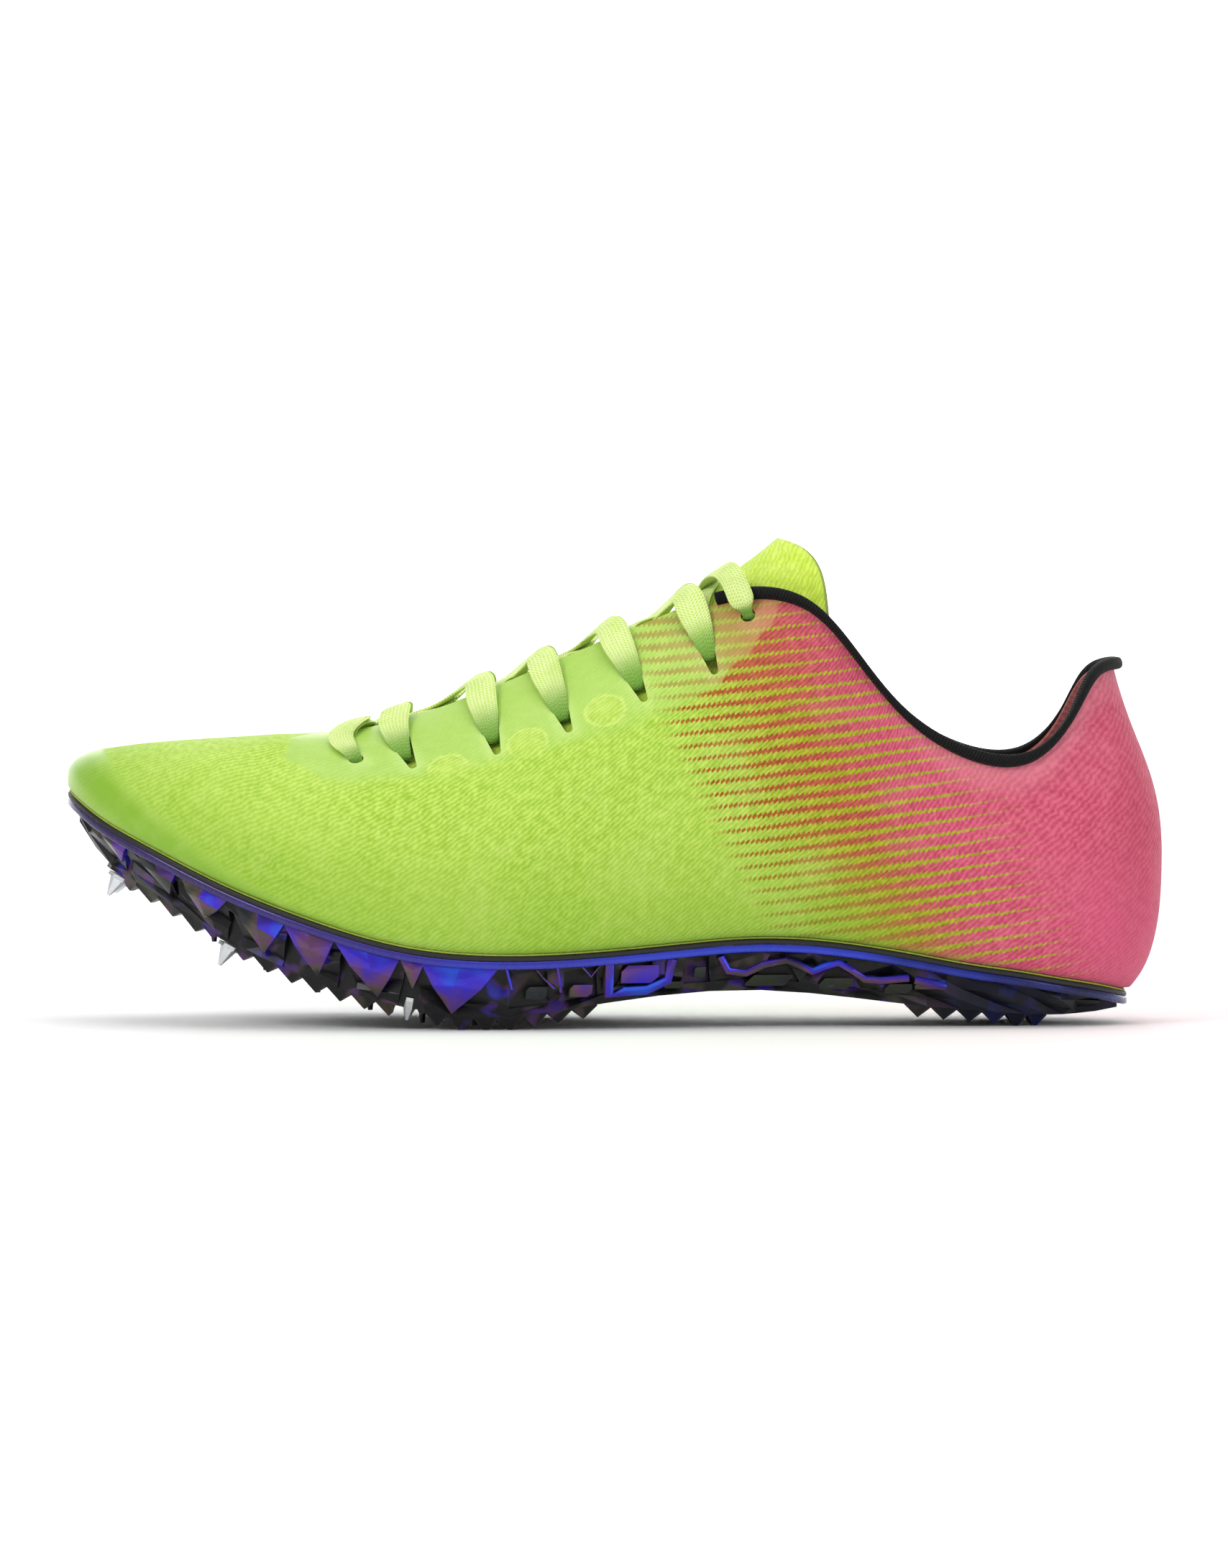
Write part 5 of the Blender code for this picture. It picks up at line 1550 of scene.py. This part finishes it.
def stripTree():
    # a strip of round-cornered section swept along the input's edges
    tree = bpy.data.node_groups.new("edgeStrip", "GeometryNodeTree")
    tree.interface.new_socket("Geometry", in_out="INPUT", socket_type="NodeSocketGeometry")
    for label, kind in (("Width", "Float"), ("Height", "Float"), ("Corner", "Float"), ("Material", "Material")):
        tree.interface.new_socket(label, in_out="INPUT", socket_type="NodeSocket" + kind)
    tree.interface.new_socket("Geometry", in_out="OUTPUT", socket_type="NodeSocketGeometry")
    given = tree.nodes.new("NodeGroupInput").outputs
    result = tree.nodes.new("NodeGroupOutput").inputs[0]
    curve = tree.nodes.new("GeometryNodeMeshToCurve")
    upright = tree.nodes.new("GeometryNodeSetCurveNormal")
    upright.mode = "Z_UP"
    section = tree.nodes.new("GeometryNodeCurvePrimitiveQuadrilateral")
    rounded = tree.nodes.new("GeometryNodeFilletCurve")
    rounded.mode = "POLY"
    rounded.inputs["Count"].default_value = 4
    sweep = tree.nodes.new("GeometryNodeCurveToMesh")
    real = tree.nodes.new("GeometryNodeRealizeInstances")
    coat = tree.nodes.new("GeometryNodeSetMaterial")
    link = tree.links.new
    link(given["Geometry"], curve.inputs[0])
    link(curve.outputs[0], upright.inputs[0])
    link(given["Width"], section.inputs["Width"])
    link(given["Height"], section.inputs["Height"])
    link(section.outputs[0], rounded.inputs["Curve"])
    link(given["Corner"], rounded.inputs["Radius"])
    link(upright.outputs[0], sweep.inputs["Curve"])
    link(rounded.outputs[0], sweep.inputs["Profile Curve"])
    link(sweep.outputs[0], real.inputs[0])
    link(real.outputs[0], coat.inputs["Geometry"])
    link(given["Material"], coat.inputs["Material"])
    link(coat.outputs[0], result)
    return tree


def edgeStrip(name, tree, material):
    # a closed strip round the shoe that follows the feather line
    out, drop, width, height = strips[name]
    places = np.arange(560) / 560 * knots[-1]
    path = feather(places) + outward(places) * out
    path[:, 2] = soleHeight(feather(places)[:, 0]) - drop
    mesh = bpy.data.meshes.new(name)
    count = len(path)
    mesh.from_pydata([tuple(p) for p in path], [(i, (i + 1) % count) for i in range(count)], [])
    strip = newObject(name, mesh)
    sweep = strip.modifiers.new("sweep", "NODES")
    sweep.node_group = tree
    inputs = {"Width": width, "Height": height, "Corner": min(width, height) * 0.45, "Material": material}
    for label, value in inputs.items():
        nodeInput(sweep, label, value)
    applied(strip)
    turnOutward(strip.data)
    shadeSmooth(strip, 60)
    return strip


def makePlate():
    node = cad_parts["spike_plate"]
    node.data.materials.clear()
    node.data.materials.append(plateBlack())
    tree = stripTree()
    lip = edgeStrip("plateLip", tree, lipGloss())
    gasket = edgeStrip("plateGasket", tree, finePlain("gasketBlack", (8, 8, 9), (24, 24, 26)))
    cord = finePlain("pipingCloth", (112, 132, 30), (176, 190, 74), (0.6, 0.8))
    piping = edgeStrip("edgePiping", tree, cord)
    for piece in (makeFacets(), lip, gasket):
        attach(piece, "root")
    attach(piping, "root")


def makePins():
    steel = pinSteel()
    for number in range(1, 7):
        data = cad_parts[f"pin_{number}"].data
        data.materials.clear()
        data.materials.append(steel)


def nodeInput(modifier, label, value):
    # a modifier's input goes by its socket's identifier
    for item in modifier.node_group.interface.items_tree:
        if item.item_type == "SOCKET" and item.in_out == "INPUT" and item.name == label:
            modifier[item.identifier] = value
            return


# Stage


def areaLight(name, place, target, size, power):
    data = bpy.data.lights.new(name, "AREA")
    data.shape = "RECTANGLE"
    data.size, data.size_y = size
    data.energy = power
    light = newObject(name, data)
    light.location = place
    light.rotation_euler = (Vector(target) - Vector(place)).to_track_quat("-Z", "Y").to_euler()
    return light


def makeStage():
    deep, wide, tall, bend = 3.2, 6.0, 3.0, 1.6
    profile = [(-4.0, 0.0), (deep - bend, 0.0)]
    for k in range(1, 13):
        turn = math.radians(90 * k / 12)
        profile.append((deep - bend + math.sin(turn) * bend, bend - math.cos(turn) * bend))
    profile.append((deep, tall))
    verts = [(side * wide, y, z) for y, z in profile for side in (-1, 1)]
    faces = [(2 * k, 2 * k + 1, 2 * k + 3, 2 * k + 2) for k in range(len(profile) - 1)]
    made = paint(newMaterial("paleFloor"), Base_Color=(0.93, 0.93, 0.93, 1), Roughness=0.9)
    floor = newObject("studioFloor", plainMesh("studioFloor", verts, faces), [made])
    floor.data.shade_smooth()
    world = bpy.data.worlds.new("softWhite")
    world.use_nodes = True
    world.node_tree.nodes["Background"].inputs["Color"].default_value = (1, 1, 1, 1)
    world.node_tree.nodes["Background"].inputs["Strength"].default_value = 0.52
    bpy.context.scene.world = world
    areaLight("keyLight", (-1.3, -1.5, 1.4), (0, 0, 0.05), (1.0, 1.0), 20)
    areaLight("topLight", (0.1, 0.1, 1.9), (0, 0, 0.05), (1.6, 1.6), 15)
    areaLight("fillLight", (1.5, -1.3, 0.7), (0, 0, 0.05), (1.0, 1.0), 6)
    wall = areaLight("wallLight", (0, 0.6, 3.2), (0, 3.0, 0.9), (5.0, 2.5), 110)
    wall.data.spread = math.radians(75)  # falls on the backdrop alone
    bpy.context.scene.view_settings.view_transform = "Standard"


def makeCamera():
    data = bpy.data.cameras.new("photoView")
    data.lens = 200
    data.sensor_width = 36
    camera = newObject("photoView", data)
    rows, pixelSize = 2181, 0.000184  # of the photograph, at the shoe
    high = rows * pixelSize
    distance = high * data.lens / data.sensor_width
    aim = Vector((0.0, 0.0, 0.061))
    lift = math.radians(1.5)
    camera.location = aim + Vector((0, -math.cos(lift), math.sin(lift))) * distance
    camera.rotation_euler = (aim - camera.location).to_track_quat("-Z", "Y").to_euler()
    bpy.context.scene.camera = camera


makeCamera()
makeStage()
print("stage: camera, floor and light made")
makeUpper()
print("stage: upper made")
makeLace()
makeTongue()
makeBinding()
makeInsole()
print("stage: lace, tongue, binding and insole made")
makePlate()
makePins()
print("stage: plate and pins made")
